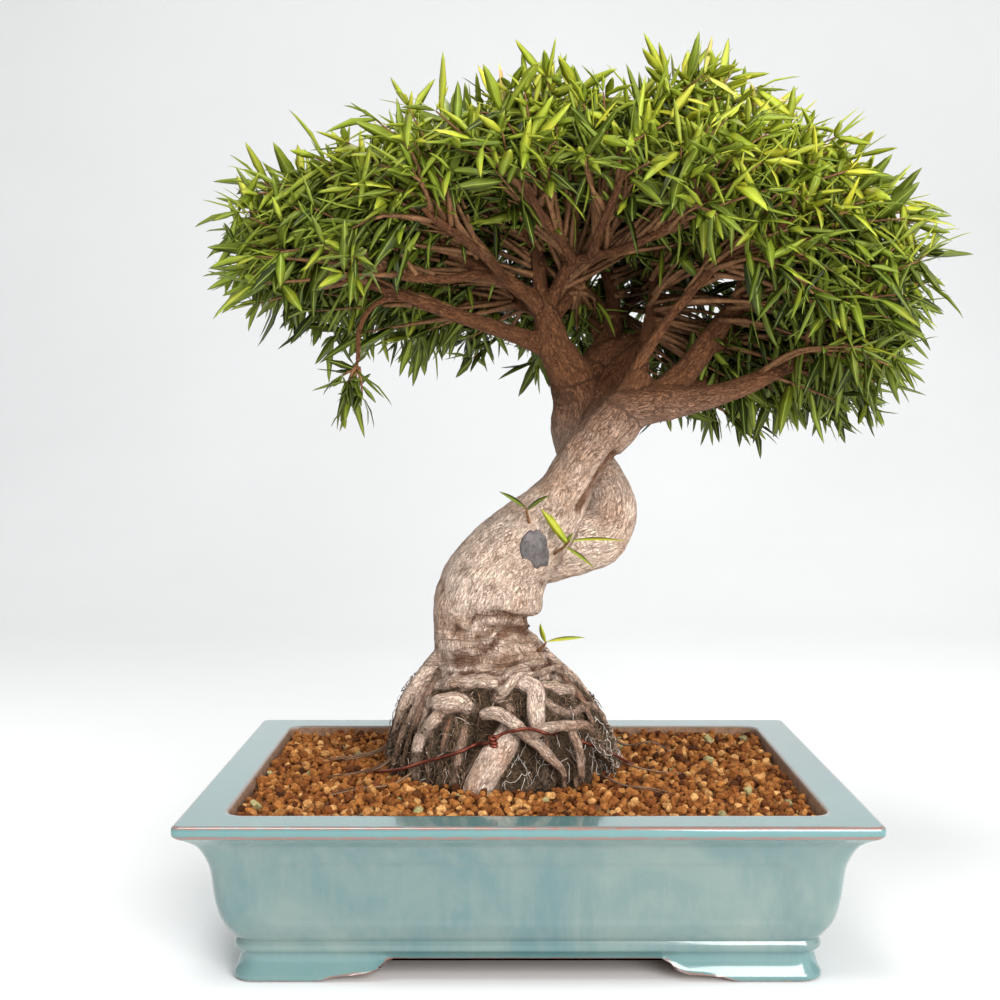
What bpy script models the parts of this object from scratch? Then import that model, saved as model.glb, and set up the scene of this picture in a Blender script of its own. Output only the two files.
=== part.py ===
# Willow-leaved ficus bonsai in a glazed rectangular pot on four cloud-shaped corner feet.
# Everything is laid out in millimetres about the pot's centre on the ground, +Y away from
# the viewer, and moved once so that the origin lies under the middle of the whole outline.
import math
import random

import bmesh
import bpy
from mathutils import Matrix, Vector, noise
from mathutils.bvhtree import BVHTree

MM = 0.001
PLANT = "ficus_bonsai"
STAND_POINT = Vector((-41, -9, 0))      # where the pot's centre stands, from the origin
SEAT_GAP = 0.3                          # clearance between pieces that rest on each other

POT_LENGTH = 386
POT_DEPTH = 300
POT_HEIGHT = 95
RIM_WIDTH = 25
FLOOR_TOP = 23
FLOOR_UNDER = 14
FOOT_WALL_INSET = 43                    # inner side of the foot ring, from the rim's edge
OUTER_CORNER = 4
INNER_CORNER = 13
CORNER_STEPS = 3                        # flats in each rounded corner
# Outer wall from the lip down to the foot: inset from the rim's edge, and height.
WALL_PROFILE = (
    (1.2, 95), (0, 93.8), (0, 89.4), (1.4, 87.8), (6.6, 84.5), (11.2, 80), (14.8, 72), (16.8, 64),
    (18.6, 47), (21.3, 35), (25.6, 26), (27.8, 23.2), (26.9, 21), (27.2, 18), (29.4, 15.4),
    (29.6, 12.4), (28.4, 7), (26.6, 3.6), (26.6, 1.6), (28.4, 0),
)
# Inner wall from the rim's inner edge down to the floor.
CAVITY_PROFILE = ((RIM_WIDTH - 1.2, 95), (RIM_WIDTH, 93.8), (26, 86), (31, 34), (36, FLOOR_TOP))
# Inner outline of a foot, from the foot's outer face inwards, and height.
FOOT_OUTLINE = (
    (45, -2), (45, 0), (49, 0.8), (55, 3.2), (65, 4.2), (75, 4.8), (81, 6.6), (84, 10.6), (87, 12.9),
)
FOOT_DEPTH_SHARE = 0.76                 # the feet are narrower along the pot's short sides
DRAIN_RADIUS = 13
DRAIN_SPACING = 85                      # from the pot's middle to each drain hole's

SOIL_EDGE_DROP = 8                      # soil surface below the rim, along the wall
SOIL_RISE = 4                           # how far the soil mounds up towards the roots
SOIL_MOUND = 110                        # how far out the mound spreads
SOIL_BUMP = 0.9
SOIL_BUMP_SCALE = 0.09
SOIL_SIDE_STEPS = (11, 8)               # facets along the soil's long and short sides
SOIL_RINGS = (1.2, 16, 34, 56, 80)      # rings of the soil's surface, from the pot's wall inwards
ROOT_CENTRE = Vector((-13, 10, 0))
ROOT_HOLE = 77                          # radius of the planting hole
ROOT_PLUG = 74.5                        # radius of the buried root ball
HOLE_FLOOR = 50
HOLE_DEPTH = 80                         # the hole's cutter, which ends above the soil
ROOT_FOOT = 2.5                         # wood this near the hole's floor is pressed flat on it
SOIL_REACH = 100                        # the trunk keeps within the hole below this height

MESH_PLATE = 38
MESH_THICK = 1.2

WIRE_RADIUS = 1.25
WIRE_CLEARANCE = 1.0                    # between the wire and the bark's facets
WIRE_PASSES = 3                         # how often the wire's route is smoothed
# Where the wood is looked for around a point of the wire, across and up.
WIRE_PROBES = ((0, 0), (3, 0), (-3, 0), (0, 2.5), (0, -2.5))
# The wire's route: out of the soil, over the face of the roots (x and height only), back in.
WIRE_BEFORE = ((-104, 6, 92), (-94, -12, 94.5), (-82, -28, 99), (-68, -40, 105))
WIRE_ACROSS = (
    (-54, 110), (-44, 114), (-34, 118), (-24, 124), (-16, 129), (-6, 132), (4, 133), (14, 133), (24, 131),
)
WIRE_AFTER = ((38, -30, 124), (52, -20, 114), (64, -8, 103), (69, 4, 94))

LEAF_LENGTH = 34
LEAF_WIDTH = 7
LEAF_THICK = 1.3
BLADES_PER_SPRAY = 10
BLADES_PER_TUFT = 7                     # on a spray whose core is narrower than the next number
TUFT_SIZE = 25
BLADE_TRIES = 600
BLADE_CLEARANCE = 1.6                   # between a blade and the wood
BLADE_APART = 0.9                       # cosine of the least angle between two blades of a spray

# Routes through the wood: x, y, z and radius at each point.
WOOD = {
    "root_ball": ((-13, 10, 50, 71), (-13, 10, 92, 69), (-13, 10, 106, 60), (-14, 10, 122, 49),
                  (-17, 9, 138, 42), (-22, 8, 158, 36)),
    "trunk": ((-18, 9, 130, 43), (-22, 8, 157, 37), (-26, 7, 170, 33), (-28, 6, 181, 31),
              (-26, 5, 196, 33), (-21, 3, 210, 33), (-12, 0, 225, 29.5), (0, -4, 239, 27),
              (12, -9, 253, 22.5), (23, -13, 268, 18), (34, -17, 286, 16.5), (46, -19, 303, 16),
              (59, -20, 318, 15.5), (67, -19, 333, 10.5), (72, -17, 345, 7.5)),
    "loop": ((10, 1, 232, 20), (22, 7, 233, 20), (36, 12, 237, 20), (50, 19, 243, 19),
             (56, 26, 261, 17), (51, 36, 284, 14), (43, 41, 298, 14.5), (35, 39, 313, 15.5),
             (34, 35, 329, 15.5), (32, 32, 340, 16)),
    "left_leader": ((32, 32, 338, 15.5), (26, 29, 351, 13.5), (20, 27, 363, 11.5), (16, 25, 376, 9.5),
                    (13, 23, 388, 7.8), (10, 21, 402, 6.4), (8, 15, 420, 5.4), (4, 5, 442, 4.4),
                    (8, -11, 470, 3.6), (18, -29, 494, 3)),
    "rear_leader": ((38, 37, 336, 13), (49, 45, 352, 12.5), (54, 53, 365, 9.5), (60, 63, 382, 7),
                    (58, 73, 412, 5.6), (44, 85, 442, 4.6), (36, 95, 476, 3.6)),
    "stub": ((52, 43, 356, 11), (67, 42, 364, 8.5)),
    "right_limb": ((60, -20, 320, 13.5), (80, -23, 325, 11.5), (100, -27, 327, 9), (119, -31, 331, 7.6),
                   (138, -31, 338, 6.9), (156, -25, 346, 6), (176, -13, 352, 5), (192, -1, 348, 4.2)),
    "right_low_tip": ((156, -25, 346, 5), (178, -37, 362, 4.4), (190, -53, 376, 3.4)),
    "upper_right": ((70, -20, 323, 10.5), (85, -17, 332, 9.4), (103, -15, 349, 8.2), (116, -13, 367, 7.4),
                    (130, -12, 384, 6.6), (148, -11, 398, 5.8), (172, -9, 410, 4.8), (206, -5, 424, 3.6)),
    "upper_fork": ((130, -12, 384, 5.4), (138, -15, 412, 5), (140, -19, 447, 4.2), (140, -21, 484, 3.2)),
    "upper_side": ((148, -11, 398, 4.8), (170, -11, 426, 4.2), (186, -11, 452, 3.2)),
    "low_left": ((24, 29, 355, 9.5), (12, 27, 364, 7.6), (-6, 21, 371, 6.6), (-29, 11, 378, 6),
                 (-50, 1, 384, 5.3), (-74, -11, 392, 4.6), (-100, -19, 400, 4), (-142, -13, 410, 3)),
    "hanging_twig": ((-80, -13, 393, 3.2), (-95, -17, 386, 2.8), (-103, -19, 372, 2.5),
                     (-104, -20, 354, 2.3)),
    "mid_left": ((15, 25, 382, 7.2), (3, 17, 395, 6.5), (-13, 7, 405, 5.8), (-30, -3, 411, 5.2),
                 (-48, -11, 424, 4.6), (-70, -19, 446, 3.9), (-88, -25, 466, 3)),
    "flat_left": ((-16, 5, 406, 5.1), (-33, -7, 406, 4.6), (-51, -23, 402, 4.2), (-73, -45, 401, 3.8),
                  (-90, -61, 403, 3)),
    "far_left": ((-50, -11, 425, 4.2), (-84, -9, 436, 3.8), (-124, -11, 450, 3)),
    "back_left": ((13, 27, 384, 5.9), (-2, 43, 392, 5.3), (-25, 61, 398, 4.8), (-60, 69, 404, 4.2),
                  (-108, 69, 412, 3)),
    "back_left_up": ((-25, 61, 398, 4.4), (-46, 69, 422, 4), (-76, 75, 452, 3)),
    "back_left_low": ((-25, 61, 398, 4.2), (-40, 81, 392, 3.6), (-52, 93, 388, 2.9)),
    "crook": ((17, 21, 392, 5.8), (22, 7, 404, 5.2), (30, -7, 414, 5), (40, -21, 416, 4.6),
              (58, -41, 418, 4), (80, -65, 426, 3.6), (104, -93, 442, 3)),
    "crook_up": ((30, -7, 414, 4.6), (22, -31, 424, 4.2), (8, -65, 436, 3.8), (-2, -95, 448, 3)),
    "crook_mid": ((40, -21, 416, 4.2), (44, -49, 428, 3.8), (52, -91, 448, 3)),
    "front_left": ((-13, 7, 405, 4.8), (-26, -29, 416, 4.2), (-46, -71, 426, 3.8), (-56, -87, 432, 3)),
    "high_left": ((8, 13, 422, 4.6), (-8, 5, 452, 4), (-28, -11, 486, 3)),
    "inner_right": ((18, 27, 380, 5.6), (34, 35, 404, 5), (50, 31, 432, 4.4), (66, 9, 466, 3.8),
                    (78, -15, 492, 3)),
    "slim_front": ((66, -19, 334, 7), (70, -20, 349, 5.6), (78, -25, 363, 4.8), (94, -37, 386, 4.2),
                   (118, -59, 410, 3.8), (148, -87, 426, 3)),
    "slim_back": ((70, -13, 340, 7), (75, 1, 360, 5.8), (82, 21, 388, 5), (90, 49, 432, 4.2),
                  (96, 77, 470, 3.2)),
    "back_right": ((82, -15, 329, 8), (106, 11, 336, 6.2), (130, 39, 348, 5.6), (150, 67, 360, 4.8),
                   (162, 83, 364, 3.6)),
    "back_right_low": ((106, 11, 336, 5), (114, 45, 336, 4.2), (118, 73, 334, 3)),
    "mid_right": ((109, -13, 358, 6), (134, 11, 368, 5.4), (160, 35, 386, 4.8), (182, 55, 404, 4.2),
                  (196, 69, 414, 3)),
    "mid_right_up": ((134, 11, 368, 4.8), (146, 41, 406, 4.2), (154, 69, 448, 3)),
    "rear_left": ((54, 53, 365, 6), (40, 81, 396, 4.8), (26, 113, 426, 3.8), (22, 125, 436, 3)),
    "rear_right": ((54, 53, 365, 6), (70, 83, 392, 4.8), (88, 115, 420, 3.8), (93, 127, 429, 3)),
    "rear_side": ((60, 63, 382, 5), (22, 77, 430, 4.4), (-14, 83, 468, 3.8), (-22, 84, 478, 3)),
    "outer_right": ((172, -9, 410, 4.2), (200, -3, 398, 3.8), (222, -1, 392, 3)),
}
# Roots that stand out of the root ball, half sunk in it.
ROOTS = {
    "left_flare": ((-48, 6, 170, 8), (-58, 4, 154, 9), (-69, 0, 132, 9), (-76, -2, 112, 8),
                   (-76, -2, 94, 7)),
    "right_flare": ((8, 8, 168, 7), (22, 8, 154, 8), (34, 8, 140, 8), (46, 8, 124, 7.5),
                    (56, 8, 108, 7), (59, 8, 94, 7)),
    "ridge_high": ((-62, -16, 144, 6), (-44, -28, 151, 6.5), (-22, -28, 156, 6.5), (0, -22, 160, 5)),
    "ridge_right": ((-6, -24, 154, 5.5), (10, -20, 155, 5.5), (22, -10, 152, 5)),
    "ridge_left": ((-62, -18, 132, 5), (-46, -28, 138, 5.5), (-30, -31, 142, 5)),
    "middle": ((2, -28, 152, 6.5), (7, -34, 142, 6.8), (12, -41, 131, 6.5), (14, -48, 118, 6)),
    "crossing": ((-28, -31, 136, 5), (-13, -36, 136, 5.2), (1, -44, 123, 5), (12, -50, 117, 4.8),
                 (23, -56, 107, 4.6), (27, -56, 94, 4.4)),
    "right_fork": ((4, -45, 124, 4.8), (18, -40, 129, 4.8), (31, -32, 132, 4.6), (40, -27, 129, 4)),
    "fork_down": ((26, -36, 129, 4.4), (31, -44, 117, 4.4), (32, -48, 107, 4.4), (33, -48, 94, 4.2)),
    "right_high": ((13, -31, 143, 4.8), (27, -27, 137, 5), (42, -14, 137, 4.4)),
    "cut_root": ((-15, -45, 123, 10.5), (-21, -50, 112, 11), (-27, -52, 100, 11), (-28, -51, 90, 11)),
    "front_left_root": ((-38, -36, 126, 4.2), (-41, -44, 110, 4.4), (-42, -47, 94, 4.2)),
    "side_left": ((-64, -12, 134, 6.5), (-66, -22, 114, 7), (-64, -28, 94, 6)),
    "back_a": ((-40, 46, 140, 7), (-52, 58, 120, 7), (-56, 62, 94, 7)),
    "back_b": ((-4, 54, 136, 7), (0, 68, 116, 7), (2, 74, 94, 7)),
    "back_c": ((26, 42, 136, 6.5), (40, 54, 116, 6.5), (44, 56, 94, 6)),
}
VOXEL = 2.3
TRUNK_FACES = 3500

# Leaf sprays: centre and core half widths.
SPRAYS = (
    (-112, -77, 407, 27, 26, 19), (-62, -103, 439, 27, 23, 19), (-4, -115, 460, 28, 23, 20),
    (55, -119, 465, 28, 23, 20), (114, -113, 460, 27, 23, 20), (166, -97, 436, 27, 23, 20),
    (205, -63, 392, 26, 26, 22),
    (-172, -9, 414, 20, 27, 20), (-146, -11, 465, 23, 28, 19), (-96, -27, 484, 26, 30, 18),
    (-36, -19, 504, 27, 31, 18), (24, -37, 512, 27, 31, 20), (82, -23, 512, 27, 31, 19),
    (140, -21, 504, 27, 31, 19), (194, -11, 470, 26, 30, 20), (233, -3, 436, 22, 30, 20),
    (246, 1, 388, 19, 30, 22), (214, 7, 340, 24, 27, 19),
    (-136, 69, 416, 26, 28, 20), (-92, 79, 472, 26, 28, 20), (-30, 85, 494, 28, 28, 19),
    (36, 97, 496, 28, 27, 19), (100, 93, 491, 28, 28, 19), (158, 85, 472, 26, 28, 20),
    (212, 77, 426, 23, 28, 23), (178, 97, 366, 26, 26, 20), (-62, 105, 384, 26, 23, 18),
    (20, 145, 450, 28, 19, 22), (96, 145, 442, 28, 19, 22), (120, 97, 330, 26, 23, 18),
    (-104, -21, 338, 8, 8, 8),
    (20, 95, 386, 24, 22, 18), (-112, 24, 378, 24, 24, 17), (150, 28, 350, 24, 24, 17),
    (26, 30, 466, 22, 22, 18), (140, -40, 446, 22, 20, 17), (-10, -62, 464, 22, 20, 17),
    (-66, 26, 448, 22, 24, 17), (92, 36, 464, 24, 24, 18),
)
CROWN_MIDDLE = Vector((40, 15, 402))
NEIGHBOUR_REACH = 190                   # sprays further apart than this never meet
CELL_MARGIN = 0.7                       # half the clearance between neighbouring sprays
CORE_SHARE = 0.9                        # of a spray's half widths
CORE_LUMPS = 0.16
CORE_CLEARANCE = 1.1                    # between a core and the wood
CORE_SHRINK = 0.93                      # a core that touches the wood shrinks by this, and again
CORE_TRIES = 12
LEAST_REACH = 2.0                       # a core reaches at least this far from its middle
REACH_STEPS = 24
REACH_STOP = 0.15                       # the search for the wood stops with this much room left
PALE_FROM = 320                         # sprays grow paler with height from here
PALE_OVER = 240                         # over this rise
# The crown's furthest reach, which no blade passes: left, right, front, back, top.
CROWN_REACH = (-205, 287, -165, 179, 561)

# Young shoots on the trunk: foot, lean, each leaf's reach across and up and its length, and height.
SPROUTS = (
    ((1, 251), (-0.25, -0.55, 0.8), (((-12, 8), 15), ((8, 12), 14)), 12),
    ((17, 234), (0.2, -0.9, 0.35), (((-12, 26), 30), ((24, 8), 30), ((10, -8), 22)), 8),
    ((6, 168), (0.55, -0.5, 0.65), (((22, 3), 24), ((-4, 9), 12)), 8),
)
STEM_RADIUS = 0.9
SPROUT_LEAF_WIDTH = 5.6
SEAL_POINT = (6, 236)                   # across and height
SEAL_SIZE = (10.5, 11.5)                # half widths
SEAL_THICK = 1.6
SEAL_LIFT = 0.9                         # clears the bark's facets under it
VIEW_FRONT = -200                       # lines towards the wood start here, in front of it all


# A mesh object in the plant's collection with a colour of its own.
def add_object(name, mesh, colour=None, roughness=0.6, metallic=0.0):
    thing = bpy.data.objects.new(name, mesh)
    plant.objects.link(thing)
    thing.parent = stand
    if colour:
        material = bpy.data.materials.new(name)
        material.use_nodes = True
        shader = material.node_tree.nodes["Principled BSDF"]
        shader.inputs["Base Color"].default_value = (*colour, 1)
        shader.inputs["Roughness"].default_value = roughness
        shader.inputs["Metallic"].default_value = metallic
        thing.data.materials.clear()
        thing.data.materials.append(material)
    return thing


# A finished bmesh as a mesh in metres.
def finish_mesh(name, bm, smooth_below=None):
    bmesh.ops.recalc_face_normals(bm, faces=bm.faces)
    bmesh.ops.scale(bm, vec=(MM, MM, MM), verts=bm.verts)
    mesh = bpy.data.meshes.new(name)
    bm.to_mesh(mesh)
    bm.free()
    if smooth_below:
        mesh.shade_smooth()
        mesh.set_sharp_from_angle(angle=math.radians(smooth_below))
    return mesh


# The mesh an object has with its modifiers, as a new mesh.
def evaluated_mesh(thing):
    bpy.context.view_layer.update()
    graph = bpy.context.evaluated_depsgraph_get()
    return bpy.data.meshes.new_from_object(thing.evaluated_get(graph))


def remove_objects(things):
    for thing in things:
        bpy.data.objects.remove(thing)


# A cutting body in the cutters' collection, taken away from a piece by a Boolean.
def cut_away(piece, name, mesh):
    cutter = bpy.data.objects.new(name, mesh)
    cutters.objects.link(cutter)
    cutter.parent = stand
    cutter.hide_render = True
    cutter.display_type = "WIRE"
    cut = piece.modifiers.new(name, "BOOLEAN")
    cut.operation = "DIFFERENCE"
    cut.object = cutter
    return cutter


# Points around one rounded rectangle, set in from the pot's rim.
def rim_ring(inset, height, corner, side_steps=(1, 1)):
    half_x = POT_LENGTH / 2 - inset
    half_y = POT_DEPTH / 2 - inset
    corners = []
    for x_sign, y_sign, start in ((1, 1, 0), (-1, 1, 90), (-1, -1, 180), (1, -1, 270)):
        middle = Vector((x_sign * (half_x - corner), y_sign * (half_y - corner), height))
        turns = [math.radians(start + 90 * step / CORNER_STEPS) for step in range(CORNER_STEPS + 1)]
        corners.append([middle + corner * Vector((math.cos(turn), math.sin(turn), 0)) for turn in turns])
    points = []
    for index, arc in enumerate(corners):
        following = corners[(index + 1) % 4][0]
        steps = side_steps[index % 2]
        points += arc
        points += [arc[-1].lerp(following, step / steps) for step in range(1, steps)]
    return points


# A solid through rings of points, closed around and at both ends.
def loft(rings):
    bm = bmesh.new()
    around = len(rings[0])
    bmesh.ops.create_grid(bm, x_segments=around, y_segments=len(rings) - 1, size=1)
    for index, vert in enumerate(bm.verts):
        row, column = divmod(index, around + 1)
        vert.co = rings[row][column % around]
    bmesh.ops.remove_doubles(bm, verts=bm.verts, dist=0.001)
    bmesh.ops.holes_fill(bm, edges=[edge for edge in bm.edges if edge.is_boundary], sides=0)
    bmesh.ops.triangulate(bm, faces=bm.faces)
    return bm


def corner_at(inset):
    share = min(max(inset / RIM_WIDTH, 0), 1)
    return OUTER_CORNER + (INNER_CORNER - OUTER_CORNER) * share ** 2


# A flat outline in the XZ plane made into a solid of a given depth along Y.
def outline_solid(name, points, depth, turned):
    curve = bpy.data.curves.new(name, "CURVE")
    curve.dimensions = "2D"
    curve.fill_mode = "BOTH"
    curve.extrude = depth / 2 * MM
    spline = curve.splines.new("POLY")
    spline.points.add(len(points) - 1)
    for point, (across, height) in zip(spline.points, points):
        point.co = (across * MM, height * MM, 0, 1)
    spline.use_cyclic_u = True
    guide = bpy.data.objects.new(name, curve)
    cutters.objects.link(guide)
    guide.rotation_euler = (math.radians(90), 0, math.radians(90 if turned else 0))
    mesh = evaluated_mesh(guide)
    mesh.transform(guide.matrix_world)
    bm = bmesh.new()
    bm.from_mesh(mesh)
    bmesh.ops.remove_doubles(bm, verts=bm.verts, dist=0.01 * MM)
    bmesh.ops.recalc_face_normals(bm, faces=bm.faces)
    bm.to_mesh(mesh)
    bm.free()
    remove_objects([guide])
    return mesh


# The arched gap between two feet, mirrored about the pot's middle.
def foot_gap(half_width, share):
    side = [(half_width - across * share, height) for across, height in FOOT_OUTLINE]
    return side + [(-across, height) for across, height in reversed(side)]


def make_pot():
    outside = [rim_ring(inset, height, corner_at(inset)) for inset, height in WALL_PROFILE]
    inside = [rim_ring(inset, height, corner_at(inset)) for inset, height in CAVITY_PROFILE]
    under = [rim_ring(FOOT_WALL_INSET, height, INNER_CORNER) for height in (0, FLOOR_UNDER)]
    bm = loft(inside[::-1] + outside + under)
    pot = add_object("pot", finish_mesh("pot", bm, 40), (0.19, 0.47, 0.52), 0.16)
    half_x = POT_LENGTH / 2 - WALL_PROFILE[-1][0]
    half_y = POT_DEPTH / 2 - WALL_PROFILE[-1][0]
    long_gap = outline_solid("foot_gap_long", foot_gap(half_x, 1), POT_DEPTH, False)
    cut_away(pot, "foot_gap_long", long_gap)
    side_gap = outline_solid("foot_gap_side", foot_gap(half_y, FOOT_DEPTH_SHARE), POT_LENGTH, True)
    cut_away(pot, "foot_gap_side", side_gap)
    for side in (-1, 1):
        bm = bmesh.new()
        place = Matrix.Translation((side * DRAIN_SPACING, 0, (FLOOR_TOP + FLOOR_UNDER) / 2))
        bmesh.ops.create_cone(bm, segments=20, radius1=DRAIN_RADIUS, radius2=DRAIN_RADIUS,
                              depth=2 * (FLOOR_TOP - FLOOR_UNDER), cap_ends=True, matrix=place)
        name = "drain_left" if side < 0 else "drain_right"
        cut_away(pot, name, finish_mesh(name, bm))


def make_drain_meshes():
    for side, name in ((-1, "drain_mesh_left"), (1, "drain_mesh_right")):
        middle = FLOOR_TOP + SEAT_GAP + MESH_THICK / 2
        place = Matrix.Translation((side * DRAIN_SPACING, 0, middle))
        bm = bmesh.new()
        bmesh.ops.create_cube(bm, matrix=place @ Matrix.Diagonal((MESH_PLATE, MESH_PLATE, MESH_THICK, 1)))
        add_object(name, finish_mesh(name, bm), (0.03, 0.03, 0.03), 0.6)


# Height of the soil's surface: it mounds up towards the roots and is lumpy all over.
def soil_height(point):
    away = (Vector(point[:2]) - ROOT_CENTRE.xy).length
    mound = SOIL_RISE * math.exp(-((away / SOIL_MOUND) ** 2))
    return POT_HEIGHT - SOIL_EDGE_DROP + mound + SOIL_BUMP * noise.noise(Vector(point) * SOIL_BUMP_SCALE)


def make_soil():
    walls = [(inset + SEAT_GAP, height) for inset, height in CAVITY_PROFILE[2:]]
    walls[-1] = (walls[-1][0] + 1, FLOOR_TOP + SEAT_GAP)
    walls += [(RIM_WIDTH + 1 + step, 0) for step in SOIL_RINGS]
    rings = [rim_ring(inset, height, INNER_CORNER, SOIL_SIDE_STEPS) for inset, height in walls]
    surface = rings[-len(SOIL_RINGS):]
    for ring in surface:
        for point in ring:
            point.z = soil_height(point)
    bm = loft(rings[-len(SOIL_RINGS) - 1::-1] + surface)
    soil = add_object("soil", finish_mesh("soil", bm), (0.42, 0.22, 0.08), 0.95)
    bm = bmesh.new()
    place = Matrix.Translation(ROOT_CENTRE + Vector((0, 0, HOLE_FLOOR + HOLE_DEPTH / 2)))
    bmesh.ops.create_cone(bm, segments=36, radius1=ROOT_HOLE, radius2=ROOT_HOLE, depth=HOLE_DEPTH,
                          cap_ends=True, matrix=place)
    cut_away(soil, "planting_hole", finish_mesh("planting_hole", bm))
    for side, name in ((-1, "mesh_pocket_left"), (1, "mesh_pocket_right")):
        bm = bmesh.new()
        width = MESH_PLATE + 2 * SEAT_GAP
        height = 2 * (MESH_THICK + SEAT_GAP)
        place = Matrix.Translation((side * DRAIN_SPACING, 0, FLOOR_TOP + SEAT_GAP))
        bmesh.ops.create_cube(bm, matrix=place @ Matrix.Diagonal((width, width, height, 1)))
        cut_away(soil, name, finish_mesh(name, bm))


# A smooth curve through a route's points, read about every few millimetres.
def smooth_route(route, spacing):
    knots = [Vector(point) for point in route]
    knots = [2 * knots[0] - knots[1]] + knots + [2 * knots[-1] - knots[-2]]
    points = []
    for before, start, end, after in zip(knots, knots[1:], knots[2:], knots[3:]):
        steps = max(1, round((end - start).length / spacing))
        for step in range(steps):
            t = step / steps
            points.append(0.5 * (2 * start + (end - before) * t
                                 + (2 * before - 5 * start + 4 * end - after) * t * t
                                 + (3 * start - before - 3 * end + after) * t ** 3))
    return points + [knots[-2]]


# Tapered tubes along the given routes, as one mesh of closed tubes.
def tube_mesh(name, routes, spacing, resolution):
    curve = bpy.data.curves.new(name, "CURVE")
    curve.dimensions = "3D"
    curve.bevel_depth = MM
    curve.bevel_resolution = resolution
    curve.use_fill_caps = True
    for route in routes:
        points = smooth_route(route, spacing)
        spline = curve.splines.new("POLY")
        spline.points.add(len(points) - 1)
        for point, place in zip(spline.points, points):
            point.co = (*(place.xyz * MM), 1)
            point.radius = place.w
    guide = bpy.data.objects.new(name, curve)
    cutters.objects.link(guide)
    mesh = evaluated_mesh(guide)
    remove_objects([guide])
    bm = bmesh.new()
    bm.from_mesh(mesh)
    bmesh.ops.remove_doubles(bm, verts=bm.verts, dist=0.01 * MM)
    bmesh.ops.recalc_face_normals(bm, faces=bm.faces)
    bm.to_mesh(mesh)
    bm.free()
    return mesh


# The wood is one grown piece: its limbs and roots are melted together, smoothed and thinned.
def make_trunk():
    mesh = tube_mesh("trunk", list(WOOD.values()) + list(ROOTS.values()), 5, 3)
    trunk = add_object("trunk", mesh, (0.50, 0.37, 0.27), 0.85)
    material = trunk.data.materials[0]
    melt = trunk.modifiers.new("melt", "REMESH")
    melt.mode = "VOXEL"
    melt.voxel_size = VOXEL * MM
    soften = trunk.modifiers.new("soften", "SMOOTH")
    soften.factor = 0.5
    soften.iterations = 3
    melted = evaluated_mesh(trunk)
    thin = trunk.modifiers.new("thin", "DECIMATE")
    thin.ratio = TRUNK_FACES / (2 * len(melted.polygons))
    thin.use_collapse_triangulate = True
    thinned = evaluated_mesh(trunk)
    trunk.modifiers.clear()
    trunk.data = keep_largest_body(thinned)
    trunk.data.materials.clear()
    trunk.data.materials.append(material)
    seat_root_ball(trunk.data)
    trunk.data.shade_smooth()
    return trunk


# Below the soil's surface the wood keeps inside the planting hole and stands flat on its floor.
def seat_root_ball(mesh):
    centre = ROOT_CENTRE * MM
    for vert in mesh.vertices:
        if vert.co.z > SOIL_REACH * MM:
            continue
        away = Vector((vert.co.x - centre.x, vert.co.y - centre.y))
        if away.length > ROOT_PLUG * MM:
            away.length = ROOT_PLUG * MM
            vert.co.x = centre.x + away.x
            vert.co.y = centre.y + away.y
        if vert.co.z < (HOLE_FLOOR + ROOT_FOOT) * MM:
            vert.co.z = (HOLE_FLOOR + SEAT_GAP) * MM


# Loose scrap is dropped: only the body with the most faces stays.
def keep_largest_body(mesh):
    bm = bmesh.new()
    bm.from_mesh(mesh)
    left = set(bm.faces)
    bodies = []
    while left:
        front = [left.pop()]
        body = list(front)
        while front:
            near = {other for edge in front.pop().edges for other in edge.link_faces} & left
            left -= near
            front += near
            body += near
        bodies.append(body)
    largest = max(bodies, key=len)
    scrap = [face for body in bodies if body is not largest for face in body]
    bmesh.ops.delete(bm, geom=scrap, context="FACES")
    bm.to_mesh(mesh)
    bm.free()
    return mesh


# Joins the pieces of a node to its first piece with one Boolean union and removes them.
def fuse(thing, pieces):
    extras = bpy.data.collections.new(thing.name + "_pieces")
    bpy.context.scene.collection.children.link(extras)
    for piece in pieces:
        extras.objects.link(piece)
    join = thing.modifiers.new("join", "BOOLEAN")
    join.operation = "UNION"
    join.operand_type = "COLLECTION"
    join.collection = extras
    fused = evaluated_mesh(thing)
    material = thing.data.materials[0]
    thing.modifiers.clear()
    thing.data = keep_largest_body(fused)
    thing.data.materials.clear()
    thing.data.materials.append(material)
    remove_objects(list(extras.objects))
    bpy.data.collections.remove(extras)


# The corners of a pointed leaf blade, a thin double wedge: root, edges and faces, and tip.
def blade_points(start, direction, side, length, width, thick):
    along = direction.normalized()
    across = (side - along * side.dot(along)).normalized()
    up = along.cross(across)
    middle = start + along * length * 0.5
    return [start, middle + across * width / 2, middle - up * thick / 2, middle - across * width / 2,
            middle + up * thick / 2, start + along * length]


def blade_object(name, points):
    bm = bmesh.new()
    for point in points:
        bm.verts.new(point)
    bmesh.ops.convex_hull(bm, input=bm.verts)
    thing = bpy.data.objects.new(name, finish_mesh(name, bm))
    thing.parent = stand
    return thing


# The wood's surface in millimetres, for measuring from.
def wood_surface(mesh):
    bm = bmesh.new()
    bm.from_mesh(mesh)
    bmesh.ops.scale(bm, vec=(1 / MM, 1 / MM, 1 / MM), verts=bm.verts)
    tree = BVHTree.FromBMesh(bm)
    bm.free()
    return tree


def wood_distance(tree, point):
    return tree.find_nearest(point)[3]


# Planes between a spray and its neighbours: each spray keeps on its own side of them.
def cell_planes(index):
    centre = Vector(SPRAYS[index][:3])
    planes = []
    for other_index, other in enumerate(SPRAYS):
        if other_index == index:
            continue
        across = Vector(other[:3]) - centre
        if across.length < NEIGHBOUR_REACH:
            own = sum(SPRAYS[index][3:]) / (sum(SPRAYS[index][3:]) + sum(other[3:]))
            planes.append((across.normalized(), across.length * own - CELL_MARGIN))
    return planes


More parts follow.
